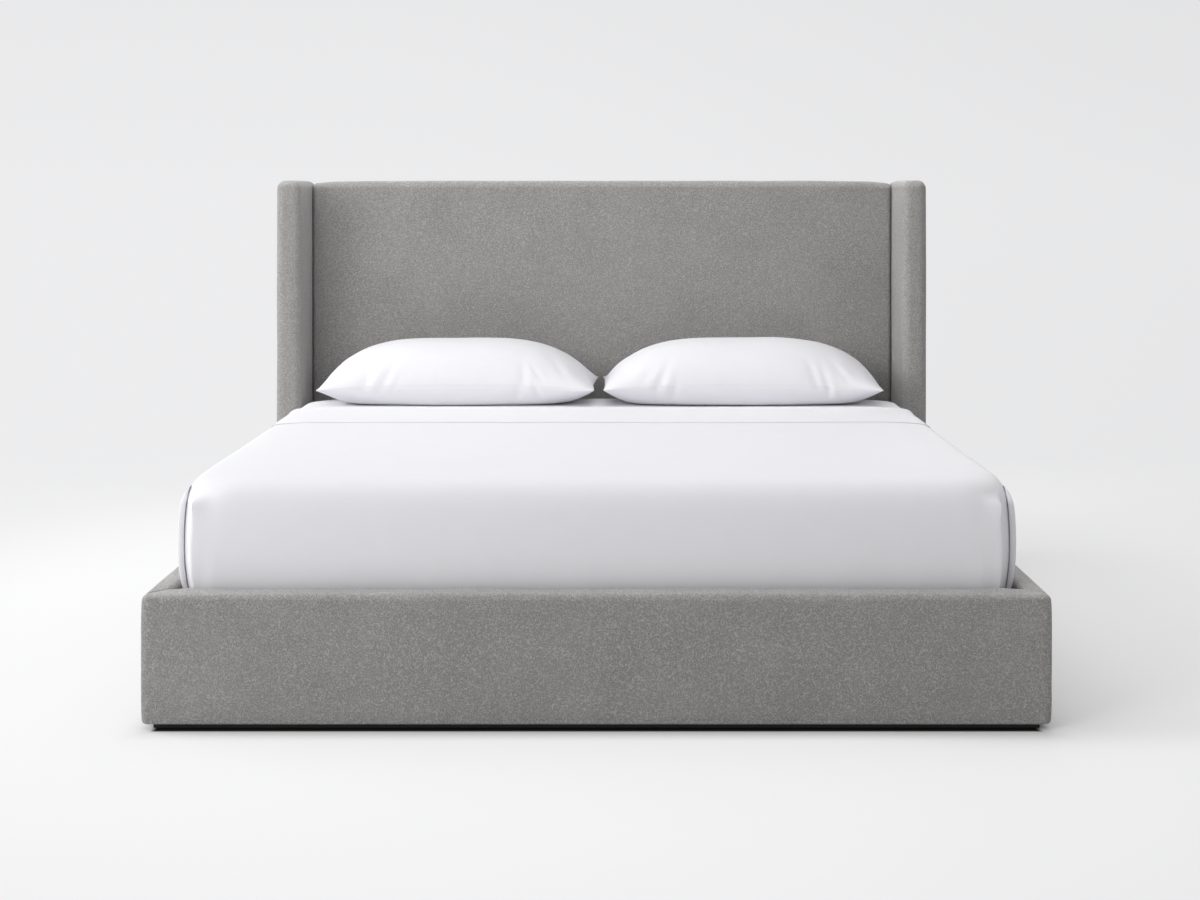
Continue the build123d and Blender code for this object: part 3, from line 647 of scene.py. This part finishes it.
def bed_layer(name, grow, bottom_reach=None):
    """The mattress's form, larger by grow. It is closed underneath, or turned under by bottom_reach."""
    ring_length = 2 * (across_steps + along_steps) + 8 * turn_steps
    rows = smoothed(edge_shares)
    if bottom_reach is not None:
        inset = edge_shares[0][1] + bottom_reach / roundness
        rows.insert(0, np.array((0.0, inset, inset, inset, 0.6)))
    points, faces = [], []

    def row_sides(row):
        """The four sides of the form at one row of its profile."""
        side, foot, head, radius = row[1:] * roundness
        return outline_sides(mattress_half - side + grow, mattress_low.y + foot - grow,
                             mattress_high.y - head + grow, radius + grow)

    def cap(ring_start, sides, z, upwards):
        """Fill a ring with a grid that follows its four sides."""
        foot_side, right_side, head_side, left_side = sides
        columns, lines = len(foot_side), len(left_side)
        index = {}
        for i in range(columns):
            index[i, 0] = ring_start + i
            index[i, lines - 1] = ring_start + (columns - 1) + (lines - 1) + (columns - 1 - i)
        for j in range(lines):
            index[columns - 1, j] = ring_start + (columns - 1) + j
            index[0, j] = ring_start + (2 * (columns - 1) + (lines - 1) + (lines - 1 - j)) % ring_length
        for j in range(1, lines - 1):
            t = j / (lines - 1)
            for i in range(1, columns - 1):
                s = i / (columns - 1)
                ends = (between(side[0], side[-1], s) for side in (foot_side, head_side))
                flat = (between(foot_side[i], head_side[i], t) + between(left_side[j], right_side[j], s)
                        - between(*ends, t))
                index[i, j] = len(points)
                points.append((flat[0], flat[1], z))
        for j in range(lines - 1):
            for i in range(columns - 1):
                quad = (index[i, j], index[i + 1, j], index[i + 1, j + 1], index[i, j + 1])
                faces.append(quad if upwards else quad[::-1])

    for row in rows:
        sides = row_sides(row)
        z = mattress_low.z + row[0] * mattress_rise + grow * (2 * row[0] - 1)
        ring = np.concatenate([sides[0][:-1], sides[1][:-1], sides[2][:0:-1], sides[3][:0:-1]])
        points += [(x, y, z) for x, y in ring]
    for level in range(len(rows) - 1):
        for k in range(ring_length):
            n = (k + 1) % ring_length
            a, b = level * ring_length, (level + 1) * ring_length
            faces.append((a + k, a + n, b + n, b + k))
    cap((len(rows) - 1) * ring_length, sides, z, True)
    if bottom_reach is None:
        cap(0, row_sides(rows[0]), mattress_low.z - grow, False)
    layer = new_piece(name, points, faces)
    shift_surface(layer, settled)
    return layer


def cut_layer(layer, point, normal, drop_beyond=True):
    """Cut a layer along a plane, and drop what lies beyond it unless only the cut is wanted."""
    mesh = bmesh.new()
    mesh.from_mesh(layer.data)
    bmesh.ops.bisect_plane(mesh, geom=mesh.verts[:] + mesh.edges[:] + mesh.faces[:], plane_co=point,
                           plane_no=normal, clear_outer=drop_beyond)
    mesh.to_mesh(layer.data)
    mesh.free()
    layer.data.update()


def finish_sheet(piece, offset, thickness=0.0012):
    """Give a single layer of cloth its thickness and its cotton, and tie it to the mattress."""
    select_only(piece)
    wall = piece.modifiers.new("Thickness", "SOLIDIFY")
    wall.thickness = thickness
    wall.offset = offset
    bpy.ops.object.modifier_apply(modifier=wall.name)
    smooth_piece(piece, sheet_cotton)
    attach(piece, "made_mattress")


fine_cotton, cotton_in, cotton_out = new_group(
    "Fine woven cotton", {"Vector": None, "Colour": (0.86, 0.86, 0.88, 1), "Thread scale": 900.0},
    ("Colour", "Height"))
threads = noise_value(fine_cotton, cotton_in["Vector"], cotton_in["Thread scale"], Detail=2.0)
slubs = noise_value(fine_cotton, cotton_in["Vector"], 24.0, Detail=3.0)
cotton_tone = scaled(fine_cotton, cotton_in["Colour"], remap(fine_cotton, slubs, 0.0, 1.0, 0.985, 1.015))
fill_sockets(fine_cotton, cotton_out, Colour=cotton_tone,
             Height=calculate(fine_cotton, "MULTIPLY_ADD", slubs, 0.6, threads))


def cotton_material(name, colour, thread_scale, depth, **constants):
    """Plain woven cotton in one colour."""
    return finish_material(name, fine_cotton, 0.3, depth, constants, Colour=colour, Thread_scale=thread_scale)


ticking = cotton_material("knitted_ticking", (0.82, 0.81, 0.79, 1), 420.0, 0.0009, Roughness=0.9)
sheet_cotton = cotton_material("white_sheet_cotton", (0.872, 0.869, 0.900, 1), 1100.0, 0.00025,
                               Roughness=0.78, Sheen_Weight=0.08, Specular_IOR_Level=0.25)
case_cotton = cotton_material("white_case_cotton", (0.822, 0.819, 0.850, 1), 1100.0, 0.00025,
                              Roughness=0.74, Sheen_Weight=0.08, Specular_IOR_Level=0.25)

mattress_body = bed_layer("mattress_body", 0.0)
smooth_piece(mattress_body, ticking)
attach(mattress_body, "made_mattress")
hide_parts("mattress")

stretched_sheet = bed_layer("stretched_sheet", fitted_grow, under_reach)
finish_sheet(stretched_sheet, -1)
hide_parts("fitted_sheet")


def tuck_corners(layer):
    """Pull the front drop straight across each foot corner, so that it turns on a crisp edge
    and runs back under the side's fold."""
    centre_x, centre_y, arc = 0.8656, -0.9251, 0.100
    tuck_low, tuck_high = 0.262, 0.526
    bend = (
        # share of the quarter turn from the foot to the side, and the place it is drawn to
        (0.000, 0.8656, -1.0251), (0.357, 0.9140, -1.0254), (0.430, 0.9235, -1.0253),
        (0.500, 0.9275, -1.0243), (0.570, 0.9308, -1.0208), (0.640, 0.9338, -1.0150),
        (0.840, 0.9492, -0.9745), (0.920, 0.9590, -0.9540), (1.000, 0.9656, -0.9251))
    turns, drawn_x, drawn_y = zip(*bend)
    for corner in layer.data.vertices:
        p = corner.co
        ahead, aside = centre_y - p.y, abs(p.x) - centre_x
        on_corner = ahead > 0 and aside > 0 and math.hypot(aside, ahead) >= 0.75 * arc
        if not (on_corner and tuck_low < p.z < tuck_high):
            continue
        angle = math.atan2(aside, ahead)
        turn = angle / (math.pi / 2)
        across = float(np.interp(turn, turns, drawn_x)) - (centre_x + arc * math.sin(angle))
        along = float(np.interp(turn, turns, drawn_y)) - (centre_y - arc * math.cos(angle))
        share = min(1.0, (tuck_high - p.z) / 0.034) * min(1.0, (p.z - tuck_low) / 0.02)
        share = share * share * (3 - 2 * share)
        flare = 0.005 * max(0.0, (0.36 - p.z) / 0.09) * (1 - turn)
        ear = 0.012 * held((p.z - 0.43) / 0.07) ** 2 * bell(turn - 0.50, 0.20)
        p.x += (across + flare + ear) * share * (1 if p.x > 0 else -1)
        p.y += (along - 0.5 * ear) * share


def pinched(place, normal):
    """Dimples where the top sheet's corners are folded, and slight flutes low on its front corners."""
    side_way = abs(place.x)
    ear_away = Vector((side_way - 0.918, place.y + 1.008, place.z - 0.505)).length
    ear = -0.0022 * bell(ear_away, 0.009)
    pleat = side_way - 0.893 + 0.35 * (place.z - 0.50)
    crease = -0.0012 * bell(pleat, 0.008) * bell(place.z - 0.492, 0.022)
    low_down = held((0.42 - place.z) / 0.12) * held(1 - abs(side_way - 0.86) / 0.15)
    flute = 0.0022 * math.sin(side_way * 95.0 + (6.0 if place.x > 0 else 0.0)) * low_down
    return ear + (crease + flute if place.y < -1.0 else 0.0)


top_sheet = bed_layer("top_sheet", flat_grow, under_reach)
tuck_corners(top_sheet)
shift_surface(top_sheet, pinched)
cut_layer(top_sheet, (0, fold_y, 0), (0, 1, 0))
finish_sheet(top_sheet, -1)
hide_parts("flat_sheet")

turned_end = bed_layer("turned_end", turned_grow)
cut_layer(turned_end, (0, fold_y, 0), (0, 1, 0))
cut_layer(turned_end, (0, hem_y, 0), (0, -1, 0))
cut_layer(turned_end, (0, 0, tuck_z), (0, 0, -1))
near_fold = [fold_y - 0.012 * row for row in range(1, 6)]
near_hem = [hem_y + 0.004] + [hem_y + hem_band + step for step in (-0.002, 0.0, 0.002)]
for place in near_fold + near_hem:
    cut_layer(turned_end, (0, place, 0), (0, 1, 0), drop_beyond=False)
fold_lift = 0.0035
fold_nose = 0.0035
roll_steps = 6


def turned_lift(place, normal):
    """How far the turned end stands off near its fold, its edge and its hem stitches."""
    from_hem = place.y - hem_y
    lift = fold_lift * bell(fold_y - place.y, 0.045) - 0.0005 * bell(from_hem, 0.060)
    return lift - 0.0004 if abs(from_hem - hem_band) < 0.001 else lift


def roll_fold(layer, half_gap):
    """Roll the cloth from the turned end round to the sheet below it, along the fold."""
    mesh = bmesh.new()
    mesh.from_mesh(layer.data)
    mesh.normal_update()
    rim = [edge for edge in mesh.edges
           if edge.is_boundary and all(abs(v.co.y - fold_y) < 0.002 for v in edge.verts)]
    rolled = {}
    for edge in rim:
        for v in edge.verts:
            if v in rolled:
                continue
            outward = Vector((v.normal.x, 0, v.normal.z)).normalized()
            middle = v.co - outward * half_gap
            rolled[v] = [v]
            for step in range(1, roll_steps + 1):
                angle = math.pi * step / roll_steps
                rolled[v].append(mesh.verts.new(middle + outward * half_gap * math.cos(angle)
                                                + Vector((0, fold_nose * math.sin(angle), 0))))
    for edge in rim:
        first, second = (rolled[v] for v in edge.verts)
        for step in range(roll_steps):
            mesh.faces.new((first[step], first[step + 1], second[step + 1], second[step]))
    bmesh.ops.recalc_face_normals(mesh, faces=mesh.faces[:])
    mesh.to_mesh(layer.data)
    mesh.free()
    layer.data.update()
    if layer.data.polygons[len(layer.data.polygons) // 3].normal.z < 0:
        layer.data.flip_normals()


shift_surface(turned_end, turned_lift)
roll_fold(turned_end, (fold_lift + turned_grow - flat_grow) / 2)
finish_sheet(turned_end, 0)


# Folded foot corners. The side of the top sheet is folded down over the tucked
# foot end, so its soft front fold stands off the rounded corner and leaves a
# dark slit beside the front drop.
corner_levels = (
    # height, how far behind the foot the fold stands, how far it bulges, roll radius
    (0.518, 0.102, -0.0012, 0.0004),
    (0.511, 0.089, 0.0002, 0.0022),
    (0.502, 0.073, 0.0010, 0.0044),
    (0.488, 0.058, 0.0014, 0.0058),
    (0.460, 0.050, 0.0012, 0.0064),
    (0.410, 0.047, 0.0010, 0.0064),
    (0.350, 0.047, 0.0010, 0.0064),
    (0.310, 0.049, 0.0008, 0.0060),
    (0.290, 0.052, 0.0004, 0.0052),
    (0.272, 0.056, -0.0004, 0.0042),
)


def side_reach(height):
    """How far the side of the sheet stands from the bed's middle line at a height."""
    table = smoothed(edge_shares)
    heights = [mattress_low.z + row[0] * mattress_rise for row in table]
    insets = [row[1] * roundness for row in table]
    return mattress_half + flat_grow - float(np.interp(height, heights, insets))


def make_corner_fold(name, side):
    """The folded cloth at one foot corner."""
    stand_off = 0.0014
    heights, *columns = zip(*reversed(corner_levels))
    levels = np.linspace(heights[-1], heights[0], 44)
    points, faces = [], []
    for height in levels:
        back, bulge, roll = (float(np.interp(height, heights, column)) for column in columns)
        flank = side_reach(height)
        front = mattress_low.y + back
        rear = mattress_low.y + 0.125 + (heights[-1] - height) * 1.05
        outer = flank + stand_off + bulge
        section = [(rear + 0.004, flank - 0.0006), (rear + 0.001, flank + 0.0008),
                   (rear - 0.004, flank + stand_off)]
        rear_run = rear - 0.010
        for share in (0.0, 0.25, 0.5, 0.75, 0.9):
            ease = share * share * (3 - 2 * share)
            along = between(rear_run, front + roll + 0.002, share)
            section.append((along, flank + stand_off + bulge * ease))
        for step in range(9):
            angle = math.pi / 2 + math.pi * step / 8
            section.append((front + roll + roll * math.cos(angle), outer - roll + roll * math.sin(angle)))
        section.append((front + roll + 0.006, outer - 2 * roll + 0.0001))
        section.append((front + roll + 0.014, outer - 2 * roll + 0.0012))
        points += [(side * x, y, height) for y, x in section]
    count = len(section)
    for level in range(len(levels) - 1):
        for k in range(count - 1):
            a, b = level * count + k, (level + 1) * count + k
            quad = (a, a + 1, b + 1, b)
            faces.append(quad if side > 0 else quad[::-1])
    fold = new_piece(name, points, faces)
    finish_sheet(fold, 0, 0.0009)
    return fold


left_fold = make_corner_fold("left_corner_fold", -1)
right_fold = make_corner_fold("right_corner_fold", 1)


# Pillows. Two king pillows lie flat with a rounded crest and pointed corners,
# each in a plain cotton case with a seam round its edge and a few soft dents
# where the filling ends.
pillow_seats = {
    # inner and outer end of the front edge, of the back edge, and how high the crest is set
    "left": (0.0215, 0.8770, 0.0095, 0.8980, 0.997),
    "right": (0.0060, 0.8710, 0.0030, 0.8975, 1.003),
}
pillow_dents = {
    # place along the pillow, height, lean, depth, half width, half height
    "left": ((-0.66, 0.625, 0.30, 0.0045, 0.016, 0.040), (-0.52, 0.632, 0.45, 0.0045, 0.013, 0.044),
             (-0.44, 0.615, 0.35, 0.0028, 0.010, 0.034), (0.475, 0.640, -0.12, 0.0052, 0.012, 0.040),
             (0.44, 0.596, 0.05, 0.0040, 0.011, 0.030), (0.575, 0.592, -0.40, 0.0042, 0.011, 0.026),
             (0.56, 0.655, -0.75, 0.0030, 0.009, 0.030), (0.72, 0.665, -0.80, 0.0022, 0.012, 0.040)),
    "right": ((-0.60, 0.628, 0.40, 0.0046, 0.013, 0.044), (-0.50, 0.600, 0.20, 0.0036, 0.011, 0.034),
              (-0.70, 0.640, 0.60, 0.0026, 0.013, 0.040), (0.50, 0.642, -0.35, 0.0048, 0.013, 0.042),
              (0.585, 0.628, -0.30, 0.0050, 0.011, 0.040), (0.60, 0.590, 0.05, 0.0042, 0.011, 0.026),
              (0.70, 0.650, -0.70, 0.0024, 0.012, 0.036)),
}
pillow_middle = 0.444
pillow_half = 0.430
seam_height = 0.054


def make_pillow(name, side, shrink, material, stands_for, slot_name):
    """One pillow in its case, or the filling inside the case when shrink is more than nothing."""
    low, high = in_metres(f"{name}_pillowcase")
    front_inner, front_outer, back_inner, back_outer, crest = pillow_seats[name]
    centre_y, half_y = (low.y + high.y) / 2, (high.y - low.y) / 2 - shrink
    seam = low.z + seam_height
    sag = seam_height - shrink
    rise = (high.z - seam) * crest - shrink
    columns, lines = 132, 76
    points, faces, index = [], [], {}

    def spread(k, count):
        """Closer rows towards the edges."""
        t = 2 * k / count - 1
        return math.copysign(1 - (1 - abs(t)) ** 1.8, t)

    def skin_point(u, v, top):
        """A point of the upper or lower skin, for its shares along and across the pillow."""
        back = (v + 1) / 2
        inner = between(front_inner, back_inner, back) + shrink
        outer = between(front_outer, back_outer, back) - shrink
        bow = 0.986 + 0.014 * abs(v) ** 3
        x = side * (inner + outer) / 2 + u * bow * (outer - inner) / 2
        y = centre_y + v * (0.905 + 0.095 * abs(u) ** 4.5) * half_y
        middle = seam + 0.011 * (1 - u * u) * (1 if v < 0 else 0.7)
        if top:
            lift = max(0.0, 1 - abs(u) ** 3.5) ** 0.78 * max(0.0, 1 - abs(v) ** 2.5) ** 0.62
            return x, y, middle + (rise - (middle - seam)) * lift * (1 - 0.25 * (u * v) ** 2)
        flat = 1.62 * max(0.0, 1 - abs(u) ** 3.0) ** 0.62 * max(0.0, 1 - abs(v) ** 3.2) ** 0.6
        flat = flat if flat < 0.8 else 1 - 0.2 * math.exp(-(flat - 0.8) / 0.2)
        return x, y, middle - (sag + middle - seam) * flat

    for top in (True, False):
        for i in range(columns + 1):
            for j in range(lines + 1):
                at_end, at_long_edge = i in (0, columns), j in (0, lines)
                if (at_end or at_long_edge) and not top:
                    index[i, j, False] = index[i, j, True]
                    continue
                u, v = spread(i, columns), spread(j, lines)
                x, y, z = skin_point(u, v, top)
                x -= math.copysign(0.0010, u) if at_end else 0.0
                y -= math.copysign(0.0014, v) if at_long_edge else 0.0
                index[i, j, top] = len(points)
                points.append((x, y, z))
        for i in range(columns):
            for j in range(lines):
                corners = ((i, j), (i + 1, j), (i + 1, j + 1), (i, j + 1))
                quad = [index[column, line, top] for column, line in corners]
                faces.append(quad if top else quad[::-1])
    pillow = new_piece(f"{name}_{slot_name}", points, faces)

    def plump(place, normal):
        """Swell and dent the case, deepest where the filling ends."""
        if place.z < low.z + 0.003:
            return 0.0
        broad = noise_at(place, (5.0, 5.0, 5.0), (side * 9.0, 0, 0))
        fine = noise_at(place, (15.0, 15.0, 15.0), (0, side * 4.0, 0))
        gathers = noise_at(place, (26.0, 9.0, 9.0), (0, side * 4.0, 0))
        near_end = max(0.0, abs(place.x - side * pillow_middle) / pillow_half - 0.45) / 0.55
        push = 0.0026 * broad + 0.0006 * fine + 0.0016 * gathers * near_end
        for dent_place, height, lean, depth, wide, tall in pillow_dents[name] if place.y < centre_y else ():
            up = place.z - height
            off = place.x - (side * pillow_middle + dent_place * pillow_half) - lean * up
            hollow, ridge = bell(off, wide), bell(off - 1.9 * wide, wide)
            push -= depth * bell(up, tall) * (0.85 * hollow - 0.28 * ridge)
        return push

    if shrink == 0:
        shift_surface(pillow, plump)
    smooth_piece(pillow, material, 80)
    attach(pillow, f"{name}_pillow_set")
    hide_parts(stands_for)


case_clearance = 0.010
for name, side in (("left", -1), ("right", 1)):
    make_pillow(name, side, 0.0, case_cotton, f"{name}_pillowcase", "white_pillowcase")
    make_pillow(name, side, case_clearance, ticking, f"{name}_pillow", "pillow_ticking")


# Studio. A pale floor runs into a white background. Wide soft lights stand at
# the left, in front, above and behind, and two small ones with grids light the
# left of the headboard and the right wing. The camera stands level, lens shifted.
def mix_shaders(tree, share, first, second):
    """A share of the second shader over the first."""
    return add_node(tree, "MixShader", slot_0=share, slot_1=first, slot_2=second).outputs[0]


bpy.ops.object.select_all(action="DESELECT")
bpy.ops.mesh.primitive_plane_add(size=60, location=(0, 0, 0))
studio_floor = bpy.context.object
studio_floor.name = "studio_floor"
studio_white = (0.845, 0.846, 0.856, 1)
floor_paint, ground, floor_shader = new_material(
    "studio_floor_paint", Base_Color=(0.74, 0.74, 0.745, 1), Roughness=0.9, Specular_IOR_Level=0.1)
floor_place = add_node(ground, "TexCoord").outputs["Object"]
floor_x, floor_y, _ = add_node(ground, "SeparateXYZ", Vector=floor_place).outputs
floor_reach = add_node(ground, "VectorMath", {"operation": "LENGTH"},
                       slot_0=floor_place).outputs["Value"]
side_share = calculate(ground, "DIVIDE", floor_x, calculate(ground, "ADD", floor_reach, 3.0))
# Painted light falloff on the floor's glow: darker towards the right, away from the lamps at the left, and
# brighter within a few metres of the bed.
painted_floor_falloff = remap(ground, side_share, -0.15, 0.4, 1.0, 0.94, smooth=True)
painted_floor_pool = remap(ground, floor_reach, 1.6, 3.0, 1.12, 1.0, smooth=True)
bright_floor = add_node(ground, "Emission", Color=studio_white,
                        Strength=calculate(ground, "MULTIPLY", painted_floor_falloff, painted_floor_pool))
past_side, past_end = (
    calculate(ground, "SUBTRACT", calculate(ground, "ABSOLUTE", axis), half)
    for axis, half in ((floor_x, 0.99), (floor_y, 1.105)))
from_bed = calculate(ground, "MAXIMUM", past_side, past_end)
side_most = remap(ground, floor_x, 0.5, 1.1, 0.74, 0.14, smooth=True)
beside_most = remap(ground, floor_y, -1.30, -1.05, 0.68, side_most, smooth=True)
beside = remap(ground, from_bed, 0.0, 0.09, 0.0, beside_most, smooth=True)
far_off = remap(ground, from_bed, 0.15, 2.4, 0.0, 1.0, smooth=True)
unlit_share = calculate(ground, "SUBTRACT", 1.0, beside)
glow_share = calculate(ground, "MULTIPLY_ADD", unlit_share, far_off, beside)
# Painted contact shadow: the floor the camera sees turns nearly black under the bed and brightens within
# about a centimetre outside it.
painted_shadow_under_bed = remap(ground, from_bed, -0.003, 0.012, 0.02, 0.93, smooth=True)
lit_floor = add_node(ground, "BsdfDiffuse", Color=painted_shadow_under_bed)
floor_seen = mix_shaders(ground, glow_share, lit_floor.outputs[0], bright_floor.outputs[0])
camera_rays = add_node(ground, "LightPath").outputs["Is Camera Ray"]
floor_finish = mix_shaders(ground, camera_rays, floor_shader.outputs[0], floor_seen)
fill_sockets(ground, ground.nodes["Material Output"], Surface=floor_finish)
studio_floor.data.materials.append(floor_paint)

world = bpy.data.worlds.new("studio")
bpy.context.scene.world = world
world.use_nodes = True
sky = world.node_tree
sky.nodes.clear()
ambient = add_node(sky, "Background", Color=(1.0, 1.0, 1.0, 1), Strength=0.46)
sky_place = add_node(sky, "TexCoord").outputs["Generated"]
sky_x, _, sky_z = add_node(sky, "SeparateXYZ", Vector=sky_place).outputs
# Painted light falloff on the background: darker towards the right and slightly darker above the horizon.
painted_sky_falloff = remap(sky, sky_x, -0.15, 0.4, 1.0, 0.94, smooth=True)
painted_sky_dimming = remap(sky, sky_z, 0.0, 0.10, 1.0, 0.965)
backdrop = add_node(sky, "Background", Color=studio_white,
                    Strength=calculate(sky, "MULTIPLY", painted_sky_falloff, painted_sky_dimming))
sky_rays = add_node(sky, "LightPath").outputs
seen = calculate(sky, "MAXIMUM", sky_rays["Is Camera Ray"], sky_rays["Is Glossy Ray"])
sky_seen = mix_shaders(sky, seen, ambient.outputs[0], backdrop.outputs[0])
add_node(sky, "OutputWorld", Surface=sky_seen)

for name, place, aim, size, power, spread in (
        ("left_softbox", (-5.0, 0.8, 2.4), (0.0, 0.3, 0.7), 3.0, 98, 180),
        ("front_softbox", (-4.6, -5.7, 3.0), (0.0, 0.0, 0.6), 2.6, 112, 180),
        ("top_softbox", (-0.1, 0.2, 4.2), (0.1, 0.1, 0.5), 3.6, 54, 180),
        ("low_softbox", (-3.6, -2.6, 1.3), (0.0, -0.4, 0.4), 1.8, 18, 180),
        ("headboard_softbox", (-1.7, -2.2, 2.8), (-1.3, 1.0, 1.1), 1.2, 2.0, 44),
        ("wing_softbox", (-2.5, -0.8, 2.0), (1.15, 0.75, 0.8), 1.0, 1.4, 35),
        ("rear_softbox", (1.5, 6.0, 2.8), (0.0, 0.8, 0.5), 3.0, 120, 180)):
    lamp = bpy.data.lights.new(name, "AREA")
    lamp.shape = "SQUARE"
    lamp.size = size
    lamp.energy = power
    lamp.spread = math.radians(spread)
    box = bpy.data.objects.new(name, lamp)
    bpy.context.scene.collection.objects.link(box)
    box.location = place
    box.rotation_euler = (Vector(aim) - Vector(place)).to_track_quat("-Z", "Y").to_euler()
    box.visible_camera = False

lens = bpy.data.cameras.new("studio_camera")
lens.lens, lens.sensor_width = 57.36, 36.0
lens.shift_x, lens.shift_y = -0.0108, -0.21
camera = bpy.data.objects.new("studio_camera", lens)
bpy.context.scene.collection.objects.link(camera)
camera.location = (0.037, -5.38475, 1.193)
camera.rotation_euler = (math.radians(90), 0, 0)
bpy.context.scene.camera = camera
bpy.context.scene.view_settings.view_transform = "Standard"
